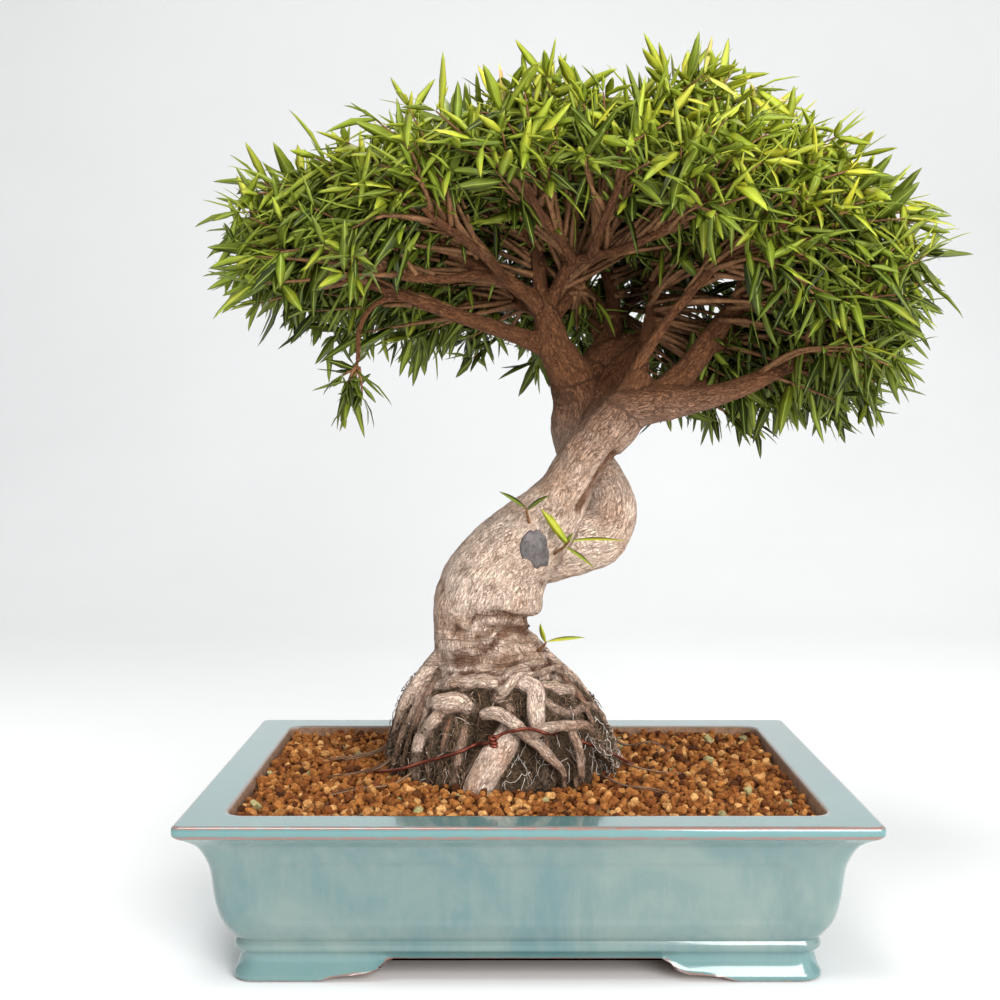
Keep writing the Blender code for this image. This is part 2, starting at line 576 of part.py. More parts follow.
def inside_crown(point):
    left, right, front, back, top = CROWN_REACH
    return left <= point.x <= right and front <= point.y <= back and point.z <= top


# The dense middle of a spray: a lumpy core that ends short of its neighbours and of the wood,
# with one corner resting on the tip of the branch that carries it.
def spray_core(index, planes, tree):
    x, y, z, *size = SPRAYS[index]
    centre = Vector((x, y, z))
    to_seat = tree.find_nearest(centre)[0] - centre
    bm = bmesh.new()
    bmesh.ops.create_icosphere(bm, subdivisions=2, radius=1)
    bm.verts.ensure_lookup_table()
    turn = bm.verts[0].co.rotation_difference(to_seat)
    bmesh.ops.rotate(bm, cent=(0, 0, 0), matrix=turn.to_matrix(), verts=bm.verts)
    bm.verts.ensure_lookup_table()
    directions = [vert.co.normalized() for vert in bm.verts]
    reach = []
    for direction in directions:
        stretch = Vector([part / half for part, half in zip(direction, size)])
        far = (CORE_SHARE + CORE_LUMPS * noise.noise(direction * 3 + centre)) / stretch.length
        for normal, limit in planes:
            if direction.dot(normal) > 0:
                far = min(far, limit / direction.dot(normal))
        reach.append(far)
    seat_reach = to_seat.length - SEAT_GAP
    spread = 1.0
    for _ in range(CORE_TRIES):
        for vert, direction, far in zip(bm.verts, directions, reach):
            vert.co = centre + direction * min(far * spread, clear_reach(tree, centre, direction, far))
        bm.verts[0].co = centre + directions[0] * seat_reach
        bm.normal_update()
        if not BVHTree.FromBMesh(bm).overlap(tree):
            break
        spread *= CORE_SHRINK
    return bm, centre


# How far a point may go from a spray's middle before it comes near the wood. Each step is as
# long as the room there, so it never goes past the wood.
def clear_reach(tree, centre, direction, far):
    reach = 0.0
    for _ in range(REACH_STEPS):
        room = wood_distance(tree, centre + direction * reach) - CORE_CLEARANCE
        if room < REACH_STOP or reach > far:
            break
        reach += room
    return max(reach, LEAST_REACH)


def make_spray(index, tree):
    rng = random.Random(400 + index)
    name = f"leaf_spray_{index + 1:02d}"
    planes = cell_planes(index)
    bm, centre = spray_core(index, planes, tree)
    core_tree = BVHTree.FromBMesh(bm)
    share = (centre.z - PALE_FROM) / PALE_OVER
    colour = (0.10 + 0.12 * share, 0.24 + 0.14 * share, 0.05)
    spray = add_object(name, finish_mesh(name, bm), colour, 0.5)
    outward = (centre - CROWN_MIDDLE).normalized()
    wanted = BLADES_PER_TUFT if max(SPRAYS[index][3:]) < TUFT_SIZE else BLADES_PER_SPRAY
    blades = []
    placed = []
    for attempt in range(BLADE_TRIES):
        if len(blades) == wanted:
            break
        direction = Vector([rng.gauss(0, 1) for _ in range(3)]).normalized()
        direction = (direction + outward * rng.uniform(0.3, 1.1)).normalized()
        surface = core_tree.ray_cast(centre, direction)[0]
        if surface is None or any(direction.dot(other) > BLADE_APART for other in placed):
            continue
        depth = (surface - centre).length
        length = LEAF_LENGTH * rng.uniform(0.8, 1.05)
        start = centre + direction * max(depth - length * rng.uniform(0.22, 0.3), 0)
        lean = Vector([rng.gauss(0, 0.25) for _ in range(3)])
        side = Vector([rng.gauss(0, 1) for _ in range(3)])
        points = blade_points(start, direction + lean, side, length, LEAF_WIDTH, LEAF_THICK)
        if fits(points, centre, planes, tree):
            placed.append(direction)
            blades.append(blade_object(f"{name}_{attempt}", points))
    fuse(spray, blades)


# A blade keeps inside its spray's cell, inside the crown, and clear of the wood.
def fits(points, centre, planes, tree):
    _, left, under, right, above, tip = points
    samples = [left, right, tip, above.lerp(under, 0.5), (left + tip) / 2, (right + tip) / 2]
    for point in points:
        if not inside_crown(point):
            return False
        if any((point - centre).dot(normal) > limit for normal, limit in planes):
            return False
    return all(wood_distance(tree, point) > BLADE_CLEARANCE for point in samples)


# Where a line along +Y first meets the wood.
def wood_front(tree, x, z):
    place, normal, _, _ = tree.ray_cast(Vector((x, VIEW_FRONT, z)), Vector((0, 1, 0)))
    return place, normal


# A short shoot that starts just off the bark, with its leaves spread towards the viewer.
def make_sprout(number, tree):
    place, lean, leaves, height = SPROUTS[number]
    name = f"trunk_sprout_{number + 1}"
    root, normal = wood_front(tree, *place)
    start = root + normal * (SEAT_GAP + STEM_RADIUS / 4)
    rise = Vector(lean).normalized() * height
    half_way = start + normal * 2 + rise * 0.5
    top = start + normal * 3 + rise
    radii = (STEM_RADIUS, STEM_RADIUS * 0.9, STEM_RADIUS * 0.8)
    stem = [(*point, radius) for point, radius in zip((start, half_way, top), radii)]
    sprout = add_object(name, tube_mesh(name, [stem], 4, 1), (0.30, 0.42, 0.08), 0.5)
    blades = []
    for count, ((across, up), length) in enumerate(leaves):
        foot = top - rise * 0.12 * (count + 1)
        side = Vector((-up, 6, across))
        points = blade_points(foot, Vector((across, -5, up)), side, length, SPROUT_LEAF_WIDTH, LEAF_THICK)
        blades.append(blade_object(f"{name}_{count}", points))
    fuse(sprout, blades)


# The paste over an old cut, laid on the bark like a coin that follows it.
def make_wound_seal(tree):
    middle, normal = wood_front(tree, *SEAL_POINT)
    turn = Vector((0, 0, 1)).rotation_difference(normal)
    bm = bmesh.new()
    bmesh.ops.create_circle(bm, cap_ends=True, cap_tris=True, segments=12, radius=1)
    bmesh.ops.subdivide_edges(bm, edges=bm.edges, cuts=1, use_grid_fill=True)
    for vert in bm.verts:
        if vert.co.length > 0.5:
            vert.co *= 1 + 0.12 * noise.noise(vert.co * 2)
        flat = Vector((vert.co.x * SEAL_SIZE[0], vert.co.y * SEAL_SIZE[1], 0))
        above = middle + normal * SEAL_SIZE[1] + turn @ flat
        vert.co = tree.ray_cast(above, -normal)[0] + normal * SEAL_LIFT
    shell = bmesh.ops.extrude_face_region(bm, geom=bm.faces[:])
    lifted = [item for item in shell["geom"] if isinstance(item, bmesh.types.BMVert)]
    bmesh.ops.translate(bm, vec=normal * SEAL_THICK, verts=lifted)
    add_object("wound_seal", finish_mesh("wound_seal", bm, 50), (0.10, 0.10, 0.11), 0.7)


# The copper wire that ties the roots down: it lies on the soil on the left, crosses the face of
# the roots and comes down to the soil on the right.
def make_wire(tree):
    across = [wood_front(tree, x, z)[0] for x, z in WIRE_ACROSS]
    route = [*WIRE_BEFORE, *across, *WIRE_AFTER]
    points = smooth_route(route, 6)
    for _ in range(WIRE_PASSES):
        points = [before_wood(tree, point) for point in points]
        inner = zip(points, points[1:], points[2:])
        points[1:-1] = [0.25 * before + 0.5 * here + 0.25 * after for before, here, after in inner]
    points = [before_wood(tree, point) for point in points]
    mesh = tube_mesh("anchor_wire", [[(*point, WIRE_RADIUS) for point in points]], 20, 2)
    add_object("anchor_wire", mesh, (0.30, 0.10, 0.06), 0.35, 0.9)


# The point moved towards the viewer until the wood around it lies clear behind.
def before_wood(tree, point):
    fronts = []
    for across, up in WIRE_PROBES:
        place = tree.ray_cast(Vector((point.x + across, VIEW_FRONT, point.z + up)), Vector((0, 1, 0)))[0]
        if place:
            fronts.append(place.y - WIRE_RADIUS - WIRE_CLEARANCE)
    return Vector((point.x, min([point.y] + fronts), point.z))


for old in list(bpy.data.objects):
    bpy.data.objects.remove(old)
plant = bpy.data.collections.new(PLANT)
cutters = bpy.data.collections.new("cutters")
for collection in (plant, cutters):
    bpy.context.scene.collection.children.link(collection)
stand = bpy.data.objects.new("stand_point", None)
plant.objects.link(stand)

make_pot()
make_drain_meshes()
make_soil()
wood_tree = wood_surface(make_trunk().data)
make_wound_seal(wood_tree)
make_wire(wood_tree)
for sprout_number in range(len(SPROUTS)):
    make_sprout(sprout_number, wood_tree)
for spray_index in range(len(SPRAYS)):
    make_spray(spray_index, wood_tree)
stand.location = STAND_POINT * MM
bpy.context.view_layer.update()
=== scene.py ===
# Willow-leaved ficus bonsai in a glazed pot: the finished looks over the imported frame.
import itertools
import math
import random

import bmesh
import bpy
import numpy as np
from mathutils import Matrix, Vector, noise
from mathutils.bvhtree import BVHTree
from mathutils.kdtree import KDTree


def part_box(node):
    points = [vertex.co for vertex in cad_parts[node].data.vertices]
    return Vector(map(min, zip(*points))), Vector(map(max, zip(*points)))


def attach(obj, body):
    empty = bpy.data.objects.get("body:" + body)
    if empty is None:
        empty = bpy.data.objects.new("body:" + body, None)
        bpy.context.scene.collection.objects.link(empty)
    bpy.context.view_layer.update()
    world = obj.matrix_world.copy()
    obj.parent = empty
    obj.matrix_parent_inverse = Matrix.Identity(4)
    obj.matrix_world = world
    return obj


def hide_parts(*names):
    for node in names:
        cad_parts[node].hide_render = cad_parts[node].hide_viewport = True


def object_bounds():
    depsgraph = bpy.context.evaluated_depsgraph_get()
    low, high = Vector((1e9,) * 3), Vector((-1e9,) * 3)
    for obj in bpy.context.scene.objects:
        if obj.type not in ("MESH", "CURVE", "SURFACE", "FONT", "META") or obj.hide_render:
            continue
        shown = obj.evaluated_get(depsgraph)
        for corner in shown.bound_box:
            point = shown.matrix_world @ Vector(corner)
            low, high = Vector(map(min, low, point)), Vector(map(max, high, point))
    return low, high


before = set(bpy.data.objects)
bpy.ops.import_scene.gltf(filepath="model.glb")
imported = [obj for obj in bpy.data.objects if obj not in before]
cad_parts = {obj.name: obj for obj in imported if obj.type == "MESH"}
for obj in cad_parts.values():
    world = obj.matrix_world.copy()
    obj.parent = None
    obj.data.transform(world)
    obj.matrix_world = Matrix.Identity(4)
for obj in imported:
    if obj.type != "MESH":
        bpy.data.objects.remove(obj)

cadLow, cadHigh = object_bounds()
mm = 0.001
potLow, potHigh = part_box("pot")
potMiddle = Vector(((potLow.x + potHigh.x) / 2, (potLow.y + potHigh.y) / 2, 0))
toFrame = Matrix.Translation(potMiddle) @ Matrix.Scale(mm, 4)  # millimetres about the pot to metres
toPot = toFrame.inverted()


# Pieces

def placed(name, data):
    thing = bpy.data.objects.new(name, data)
    bpy.context.scene.collection.objects.link(thing)
    return thing


# A bmesh laid out in millimetres about the pot's middle becomes a piece of the scene.
def addPiece(name, bm, materials, replaced=(), smooth=True):
    bmesh.ops.transform(bm, matrix=toFrame, verts=bm.verts)
    mesh = newMesh(name, bm)
    for material in materials:
        mesh.materials.append(material)
    if smooth:
        mesh.shade_smooth()
    piece = placed(name, mesh)
    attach(piece, "root")
    if replaced:
        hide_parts(*replaced)
    mesh.calc_loop_triangles()
    print(name, len(mesh.loop_triangles), "triangles")
    return piece


def newMesh(name, bm):
    mesh = bpy.data.meshes.new(name)
    bm.to_mesh(mesh)
    bm.free()
    return mesh


# A piece's or node's surface in millimetres about the pot.
def potBmesh(piece):
    bm = bmesh.new()
    bm.from_mesh(piece.data)
    bmesh.ops.transform(bm, matrix=toPot, verts=bm.verts)
    return bm


# The same surface, for casting lines at.
def surfaceTree(piece):
    bm = potBmesh(piece)
    tree = BVHTree.FromBMesh(bm)
    bm.free()
    return tree


# Lowest and highest corner of a CAD node in millimetres about the pot.
def potBox(node):
    low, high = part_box(node)
    return toPot @ low, toPot @ high


# Where a line along +Y first meets a surface, and the surface's normal there.
def barkFront(tree, x, z):
    return tree.ray_cast(Vector((x, -200, z)), Vector((0, 1, 0)))[:2]


def openEdges(bm):
    return [edge for edge in bm.edges if edge.is_boundary]


def vertsOf(parts):
    return [part for part in parts if isinstance(part, bmesh.types.BMVert)]


def randomVector(rng, size=1):
    return Vector([rng.gauss(0, size) for _ in range(3)])


# Turned any way round and scaled, at a place.
def tumbled(rng, place, size):
    turn = Matrix.Rotation(rng.uniform(0, 6.28), 4, randomVector(rng).normalized())
    return Matrix.Translation(place) @ turn @ Matrix.Scale(size, 4)


# A smooth curve through the points of a route, read about every few millimetres.
def smoothRoute(route, spacing):
    knots = [Vector(point) for point in route]
    knots = [2 * knots[0] - knots[1]] + knots + [2 * knots[-1] - knots[-2]]
    points = []
    for before, start, end, after in zip(knots, knots[1:], knots[2:], knots[3:]):
        steps = max(1, round((end - start).length / spacing))
        for step in range(steps):
            t = step / steps
            points.append(0.5 * (2 * start + (end - before) * t
                                 + (2 * before - 5 * start + 4 * end - after) * t * t
                                 + (3 * start - before - 3 * end + after) * t ** 3))
    return points + [knots[-2]]


# The same for points of two numbers.
def flatRoute(route, spacing):
    return [point.xy for point in smoothRoute([(*knot, 0) for knot in route], spacing)]


# Tapered tubes in millimetres along routes of x, y, z and radius.
def tubeMesh(name, routes, spacing, roundness):
    curve = bpy.data.curves.new(name, "CURVE")
    curve.dimensions = "3D"
    curve.bevel_depth = 1
    curve.bevel_resolution = roundness
    curve.use_fill_caps = True
    for route in routes:
        points = smoothRoute(route, spacing)
        spline = curve.splines.new("POLY")
        spline.points.add(len(points) - 1)
        for knot, point in zip(spline.points, points):
            knot.co = (*point.xyz, 1)
            knot.radius = point.w
    guide = placed(name, curve)
    mesh = evaluatedMesh(guide)
    bpy.data.objects.remove(guide)
    bm = bmesh.new()
    bm.from_mesh(mesh)
    bmesh.ops.remove_doubles(bm, verts=bm.verts, dist=0.01)
    bmesh.ops.recalc_face_normals(bm, faces=bm.faces)
    bm.to_mesh(mesh)
    bm.free()
    return mesh


def evaluatedMesh(thing):
    bpy.context.view_layer.update()
    graph = bpy.context.evaluated_depsgraph_get()
    return bpy.data.meshes.new_from_object(thing.evaluated_get(graph))


# Copies a small template with a tone of its own.
def stamp(bm, template, matrix, tone):
    copied = template.copy()
    copied.transform(matrix)
    copied.attributes["tone"].data.foreach_set("value", [tone] * len(copied.vertices))
    bm.from_mesh(copied)
    bpy.data.meshes.remove(copied)


# Tubes of young wood, ready for leaves to be stamped on.
def leafyBmesh(name, routes, spacing, roundness):
    bm = bmesh.new()
    bm.from_mesh(tubeMesh(name, routes, spacing, roundness))
    bm.verts.layers.float.new("tone")
    bm.loops.layers.uv.new("blade")
    for face in bm.faces:
        face.material_index = 1
    return bm


def smoothStep(value):
    value = min(max(value, 0), 1)
    return value * value * (3 - 2 * value)


def clamped(value, low=0, high=1):
    return min(max(value, low), high)


# Nodes and materials

# Gives each socket a plain value or a link.
def wired(tree, made, sockets):
    for name, value in sockets.items():
        if isinstance(value, bpy.types.NodeSocket):
            tree.links.new(value, made.inputs[name])
        else:
            made.inputs[name].default_value = value
    return made


def addNode(tree, kind, sockets=None, **settings):
    made = tree.nodes.new(kind)
    for name, value in settings.items():
        setattr(made, name, value)
    return wired(tree, made, sockets or {})


def opaque(colour):
    return colour if isinstance(colour, bpy.types.NodeSocket) else (*colour, 1)


def mixColour(tree, factor, first, second, blend="MIX"):
    sockets = {0: factor, 6: opaque(first), 7: opaque(second)}
    return addNode(tree, "ShaderNodeMix", sockets, data_type="RGBA", blend_type=blend).outputs[2]


def sums(tree, operation, first, second=0.0):
    return addNode(tree, "ShaderNodeMath", {0: first, 1: second}, operation=operation).outputs[0]


def times(tree, first, second):
    return sums(tree, "MULTIPLY", first, second)


def plus(tree, first, second):
    return sums(tree, "ADD", first, second)


def minus(tree, first, second):
    return sums(tree, "SUBTRACT", first, second)


def ramp(tree, factor, stops):
    made = addNode(tree, "ShaderNodeValToRGB", {"Fac": factor})
    band = made.color_ramp
    while len(band.elements) < len(stops):
        band.elements.new(0.5)
    for element, (position, colour) in zip(band.elements, stops):
        element.position = position
        element.color = (*colour, 1)
    return made.outputs["Color"]


def spread(tree, value, low, high, newLow=0.0, newHigh=1.0):
    sockets = {"Value": value, "From Min": low, "From Max": high, "To Min": newLow, "To Max": newHigh}
    return addNode(tree, "ShaderNodeMapRange", sockets, interpolation_type="SMOOTHSTEP").outputs[0]


def attribute(tree, name, kind="Fac"):
    return addNode(tree, "ShaderNodeAttribute", attribute_name=name).outputs[kind]


def stretched(tree, vector, scale):
    return addNode(tree, "ShaderNodeMapping", {"Vector": vector, "Scale": scale}).outputs[0]


def noiseFac(tree, vector, scale, detail=4.0, roughness=0.55, distortion=0.0):
    sockets = {"Vector": vector, "Scale": scale, "Detail": detail, "Roughness": roughness,
               "Distortion": distortion}
    return addNode(tree, "ShaderNodeTexNoise", sockets).outputs["Fac"]


def objectCoords(tree):
    return addNode(tree, "ShaderNodeTexCoord").outputs["Object"]


def heightOf(tree, place):
    return addNode(tree, "ShaderNodeSeparateXYZ", {0: place}).outputs[2]


def newMaterial(name, constants):
    material = bpy.data.materials.new(name)
    material.use_nodes = True
    shader = material.node_tree.nodes["Principled BSDF"]
    for socket, value in constants.items():
        shader.inputs[socket].default_value = value
    return material, material.node_tree, shader


def bumped(tree, shader, height, distance, strength=1.0):
    bump = addNode(tree, "ShaderNodeBump", {"Height": height, "Distance": distance, "Strength": strength})
    tree.links.new(bump.outputs[0], shader.inputs["Normal"])


# Crumbly mineral look shared by grit, clay, paste and the earth between the roots.
def makeMineralGroup():
    group = bpy.data.node_groups.new("mineralGrain", "ShaderNodeTree")
    for label, kind, value in (("Vector", "Vector", (0, 0, 0)), ("Grain Size", "Float", 0.001),
                               ("Dark", "Color", (0.1, 0.1, 0.1, 1)), ("Light", "Color", (0.5, 0.5, 0.5, 1))):
        socket = group.interface.new_socket(label, in_out="INPUT", socket_type="NodeSocket" + kind)
        socket.default_value = value
    for label, kind in (("Colour", "Color"), ("Height", "Float")):
        group.interface.new_socket(label, in_out="OUTPUT", socket_type="NodeSocket" + kind)
    entry = group.nodes.new("NodeGroupInput").outputs
    leave = group.nodes.new("NodeGroupOutput").inputs
    scale = sums(group, "DIVIDE", 1.0, entry["Grain Size"])
    fine = noiseFac(group, entry["Vector"], scale, 5.0, 0.65)
    broad = noiseFac(group, entry["Vector"], times(group, scale, 0.23), 3.0)
    both = plus(group, times(group, fine, 0.6), times(group, broad, 0.4))
    colour = mixColour(group, spread(group, both, 0.33, 0.68), entry["Dark"], entry["Light"])
    group.links.new(colour, leave["Colour"])
    group.links.new(both, leave["Height"])
    return group


mineralGroup = makeMineralGroup()


def mineral(tree, vector, look):
    made = addNode(tree, "ShaderNodeGroup", node_tree=mineralGroup)
    wired(tree, made, {"Vector": vector, "Grain Size": look["grain"], "Dark": (*look["dark"], 1),
                       "Light": (*look["light"], 1)})
    return made.outputs["Colour"], made.outputs["Height"]


barkLook = dict(
    pale=(1.0, 0.775, 0.62), warm=(0.78, 0.52, 0.37), rosy=(0.80, 0.50, 0.37), young=(0.215, 0.088, 0.037),
    # hollow is the painted shade colour that darkens the creases and hollows of the bark
    fleck=(0.95, 0.85, 0.76), hollow=(0.20, 0.09, 0.045), crackShade=(0.42, 0.34, 0.29),
    earth=dict(grain=0.0016, dark=(0.016, 0.011, 0.007), light=(0.20, 0.125, 0.07)),
    collarFrom=(0.153, 0.160), collarTo=(0.176, 0.190), relief=0.0018,
)


# Thin wandering cracks where a noise crosses its middle: 0 in a crack and 1 beside it.
def crackLines(tree, vector, scale, width):
    wandering = noiseFac(tree, vector, scale, 3.0, 0.6, 0.5)
    return spread(tree, sums(tree, "ABSOLUTE", minus(tree, wandering, 0.5)), 0.0, width)


# Cracks along the grain, broken by a faint patchwork.
def barkCracks(tree, grain, place):
    fibre = noiseFac(tree, stretched(tree, grain, (1, 1, 0.3)), 900, 5.0, 0.75, 0.6)
    wide = crackLines(tree, stretched(tree, grain, (1, 1, 0.28)), 260, 0.032)
    narrow = crackLines(tree, stretched(tree, grain, (1, 1, 0.4)), 560, 0.045)
    faint = spread(tree, noiseFac(tree, place, 120, 3.0, 0.6), 0.40, 0.62, 0, 0.75)
    both = times(tree, sums(tree, "MAXIMUM", wide, faint), spread(tree, narrow, 0, 1, 0.5, 1))
    return times(tree, both, spread(tree, fibre, 0.30, 0.52, 0.65, 1))


# Level wrinkles around the collar over the roots: 1 in a wrinkle.
def collarWrinkles(tree, place):
    up = heightOf(tree, place)
    above = spread(tree, up, *barkLook["collarFrom"])
    collar = times(tree, above, spread(tree, up, *barkLook["collarTo"], 0.6, 0))
    lines = crackLines(tree, stretched(tree, place, (0.2, 0.2, 1)), 190, 0.06)
    return times(tree, collar, minus(tree, 1.0, lines))


def makeBarkMaterial():
    material, tree, shader = newMaterial("ficusBark", {"Roughness": 0.85, "Specular IOR Level": 0.2})
    grain = attribute(tree, "grain", "Vector")
    age = attribute(tree, "age")
    cavityShade = attribute(tree, "cavityShade")
    earth = attribute(tree, "earth")
    place = objectCoords(tree)
    scaly = noiseFac(tree, place, 330, 5.0, 0.7)
    patch = noiseFac(tree, place, 34, 5.0, 0.62)
    speck = noiseFac(tree, place, 1100, 2.0, 0.5)
    wrinkled = collarWrinkles(tree, place)
    lines = times(tree, barkCracks(tree, grain, place), minus(tree, 1.0, wrinkled))
    old = mixColour(tree, spread(tree, patch, 0.44, 0.68), barkLook["pale"], barkLook["warm"])
    old = mixColour(tree, spread(tree, scaly, 0.52, 0.72, 0, 0.7), old, barkLook["rosy"])
    bark = mixColour(tree, age, barkLook["young"], old)
    bark = mixColour(tree, minus(tree, 1.0, lines), bark, barkLook["crackShade"], "MULTIPLY")
    flecks = times(tree, spread(tree, speck, 0.56, 0.70, 0, 0.5), age)
    bark = mixColour(tree, flecks, bark, barkLook["fleck"])
    # painted shade: the bark is darkened in its creases and hollows
    bark = mixColour(tree, spread(tree, cavityShade, 0.08, 0.8, 0, 0.9), bark, barkLook["hollow"])
    soil, soilHeight = mineral(tree, place, barkLook["earth"])
    tree.links.new(mixColour(tree, earth, bark, soil), shader.inputs["Base Color"])
    height = plus(tree, lines, times(tree, scaly, 0.9))
    height = minus(tree, height, times(tree, wrinkled, 1.2))
    height = plus(tree, height, times(tree, soilHeight, times(tree, earth, 2.0)))
    bumped(tree, shader, height, barkLook["relief"])
    return material


leafLook = dict(
    stops=((0.0, (0.028, 0.045, 0.004)), (0.22, (0.12, 0.172, 0.012)), (0.45, (0.265, 0.335, 0.022)),
           (0.7, (0.48, 0.545, 0.035)), (0.92, (0.70, 0.74, 0.11)), (1.0, (0.90, 0.62, 0.28))),
    wash=(1.2, 1.0, 0.9), underside=(0.25, 0.32, 0.035), undersideShare=0.38, rib=(0.42, 0.50, 0.09),
    roughness=(0.34, 0.52), relief=0.0003,
)


# The blade's UV runs from 0 to 1 along the upper face and from 2 to 3 along the lower one.
def makeLeafMaterial():
    material, tree, shader = newMaterial("willowLeaf", {"Specular IOR Level": 0.3})
    tone = attribute(tree, "tone")
    blade = addNode(tree, "ShaderNodeUVMap", uv_map="blade").outputs[0]
    across, along, _ = addNode(tree, "ShaderNodeSeparateXYZ", {0: blade}).outputs
    fromRib = sums(tree, "ABSOLUTE", minus(tree, across, 0.5))
    place = objectCoords(tree)
    mottled = plus(tree, tone, times(tree, minus(tree, noiseFac(tree, place, 160), 0.5), 0.25))
    wash = spread(tree, noiseFac(tree, place, 40, 2.0), 0.46, 0.58)
    colour = mixColour(tree, wash, ramp(tree, mottled, leafLook["stops"]), leafLook["wash"], "MULTIPLY")
    underneath = spread(tree, along, 1.4, 1.6, 0.0, leafLook["undersideShare"])
    colour = mixColour(tree, underneath, colour, leafLook["underside"])
    rib = spread(tree, fromRib, 0.0, 0.09, 0.6, 0.0)
    colour = mixColour(tree, rib, colour, leafLook["rib"])
    tree.links.new(colour, shader.inputs["Base Color"])
    sheen = spread(tree, noiseFac(tree, place, 400), 0.3, 0.7, *leafLook["roughness"])
    tree.links.new(sheen, shader.inputs["Roughness"])
    veins = addNode(tree, "ShaderNodeTexWave", {"Vector": stretched(tree, blade, (1.2, 14, 1)), "Scale": 1.0,
                                                "Distortion": 0.6})
    height = plus(tree, times(tree, rib, -1.0), times(tree, veins.outputs["Fac"], 0.25))
    bumped(tree, shader, height, leafLook["relief"], 0.5)
    return material


twigLook = dict(grain=0.0012, dark=(0.10, 0.042, 0.017), light=(0.33, 0.16, 0.068), green=(0.22, 0.25, 0.06))


def makeTwigMaterial():
    material, tree, shader = newMaterial("youngTwig", {"Roughness": 0.65, "Specular IOR Level": 0.3})
    brown, height = mineral(tree, objectCoords(tree), twigLook)
    colour = mixColour(tree, attribute(tree, "tone"), brown, twigLook["green"])
    tree.links.new(colour, shader.inputs["Base Color"])
    bumped(tree, shader, height, 0.0003)
    return material


glazeLook = dict(
    body=(0.155, 0.228, 0.213), deep=(0.10, 0.185, 0.188), pale=(0.235, 0.285, 0.25), rim=(0.10, 0.25, 0.25),
    fleck=(0.05, 0.16, 0.20), edge=(0.25, 0.14, 0.115), rimFrom=(0.082, 0.093), feetTo=(0.012, 0.022),
    clay=dict(grain=0.0014, dark=(0.15, 0.08, 0.045), light=(0.34, 0.19, 0.11)),
)


def makeGlazeMaterial():
    material, tree, shader = newMaterial("seaGlaze", {"Coat Roughness": 0.06, "Coat IOR": 1.5})
    place = objectCoords(tree)
    bare = attribute(tree, "bare")
    thin = attribute(tree, "thin")
    cloud = noiseFac(tree, stretched(tree, place, (1, 1, 0.7)), 17, 5.0, 0.6, 0.6)
    runs = noiseFac(tree, stretched(tree, place, (1, 1, 0.12)), 150, 4.0, 0.6)
    speck = noiseFac(tree, place, 1300, 3.0, 0.6)
    height = heightOf(tree, place)
    glaze = mixColour(tree, spread(tree, cloud, 0.32, 0.62), glazeLook["deep"], glazeLook["body"])
    for factor, colour in (
        (spread(tree, cloud, 0.5, 0.8, 0, 0.6), glazeLook["pale"]),
        (spread(tree, runs, 0.42, 0.75, 0, 0.22), glazeLook["pale"]),
        (spread(tree, height, *glazeLook["rimFrom"], 0, 0.8), glazeLook["rim"]),
        (spread(tree, height, *glazeLook["feetTo"], 0.5, 0), glazeLook["rim"]),
        (spread(tree, speck, 0.60, 0.72, 0, 0.3), glazeLook["fleck"]),
    ):
        glaze = mixColour(tree, factor, glaze, colour)
    wear = plus(tree, thin, times(tree, minus(tree, noiseFac(tree, place, 120), 0.5), 0.8))
    glaze = mixColour(tree, spread(tree, wear, 0.45, 0.85), glaze, glazeLook["edge"])
    clay, clayHeight = mineral(tree, place, glazeLook["clay"])
    tree.links.new(mixColour(tree, bare, glaze, clay), shader.inputs["Base Color"])
    tree.links.new(spread(tree, bare, 0, 1, 0.22, 0.85), shader.inputs["Roughness"])
    tree.links.new(spread(tree, bare, 0, 1, 0.9, 0.0), shader.inputs["Coat Weight"])
    soft = times(tree, noiseFac(tree, place, 55, 2.0), 0.5)
    bumped(tree, shader, plus(tree, soft, times(tree, clayHeight, times(tree, bare, 0.8))), 0.0012, 0.35)
    return material


# Finishes that differ from copy to copy by their tone, under a little dust.
tonedLooks = dict(
    clayGrit=dict(
        constants={"Roughness": 0.93, "Specular IOR Level": 0.15}, relief=(0.0009, 0.8),
        stops=((0.0, (0.07, 0.024, 0.009)), (0.3, (0.25, 0.085, 0.022)), (0.7, (0.46, 0.19, 0.05)),
               (0.93, (0.74, 0.42, 0.16)), (0.97, (0.42, 0.39, 0.19))),
        grain=0.0014, dark=(0.42, 0.36, 0.32), light=(1.2, 1.15, 1.1),
    ),
    rootHair=dict(
        constants={"Roughness": 0.8, "Specular IOR Level": 0.2}, relief=(0.0002, 1.0),
        stops=((0.0, (0.07, 0.035, 0.02)), (0.5, (0.30, 0.18, 0.11)), (0.75, (0.55, 0.42, 0.33)),
               (1.0, (0.75, 0.68, 0.60))),
        grain=0.001, dark=(0.6, 0.6, 0.6), light=(1.1, 1.1, 1.1),
    ),
)
# Finishes with a mineral grain alone.
plainLooks = dict(
    gritBed=dict(constants={"Roughness": 0.95}, relief=(0.002, 0.8), grain=0.004,
                 dark=(0.06, 0.025, 0.01), light=(0.36, 0.16, 0.05)),
    cutPaste=dict(constants={"Roughness": 0.62}, relief=(0.0006, 0.8), grain=0.0022,
                  dark=(0.06, 0.052, 0.052), light=(0.17, 0.145, 0.14)),
    meshPlastic=dict(constants={"Roughness": 0.5}, relief=(0.0001, 0.8), grain=0.0008,
                     dark=(0.015, 0.015, 0.015), light=(0.03, 0.03, 0.03)),
    tarnishedCopper=dict(constants={"Roughness": 0.42, "Metallic": 0.75}, relief=(0.0001, 0.8), grain=0.0035,
                         dark=(0.11, 0.026, 0.016), light=(0.30, 0.08, 0.045)),
    darkCrumb=dict(constants={"Roughness": 0.95}, relief=(0.0006, 0.8), grain=0.0012,
                   dark=(0.012, 0.009, 0.006), light=(0.11, 0.075, 0.04)),
)


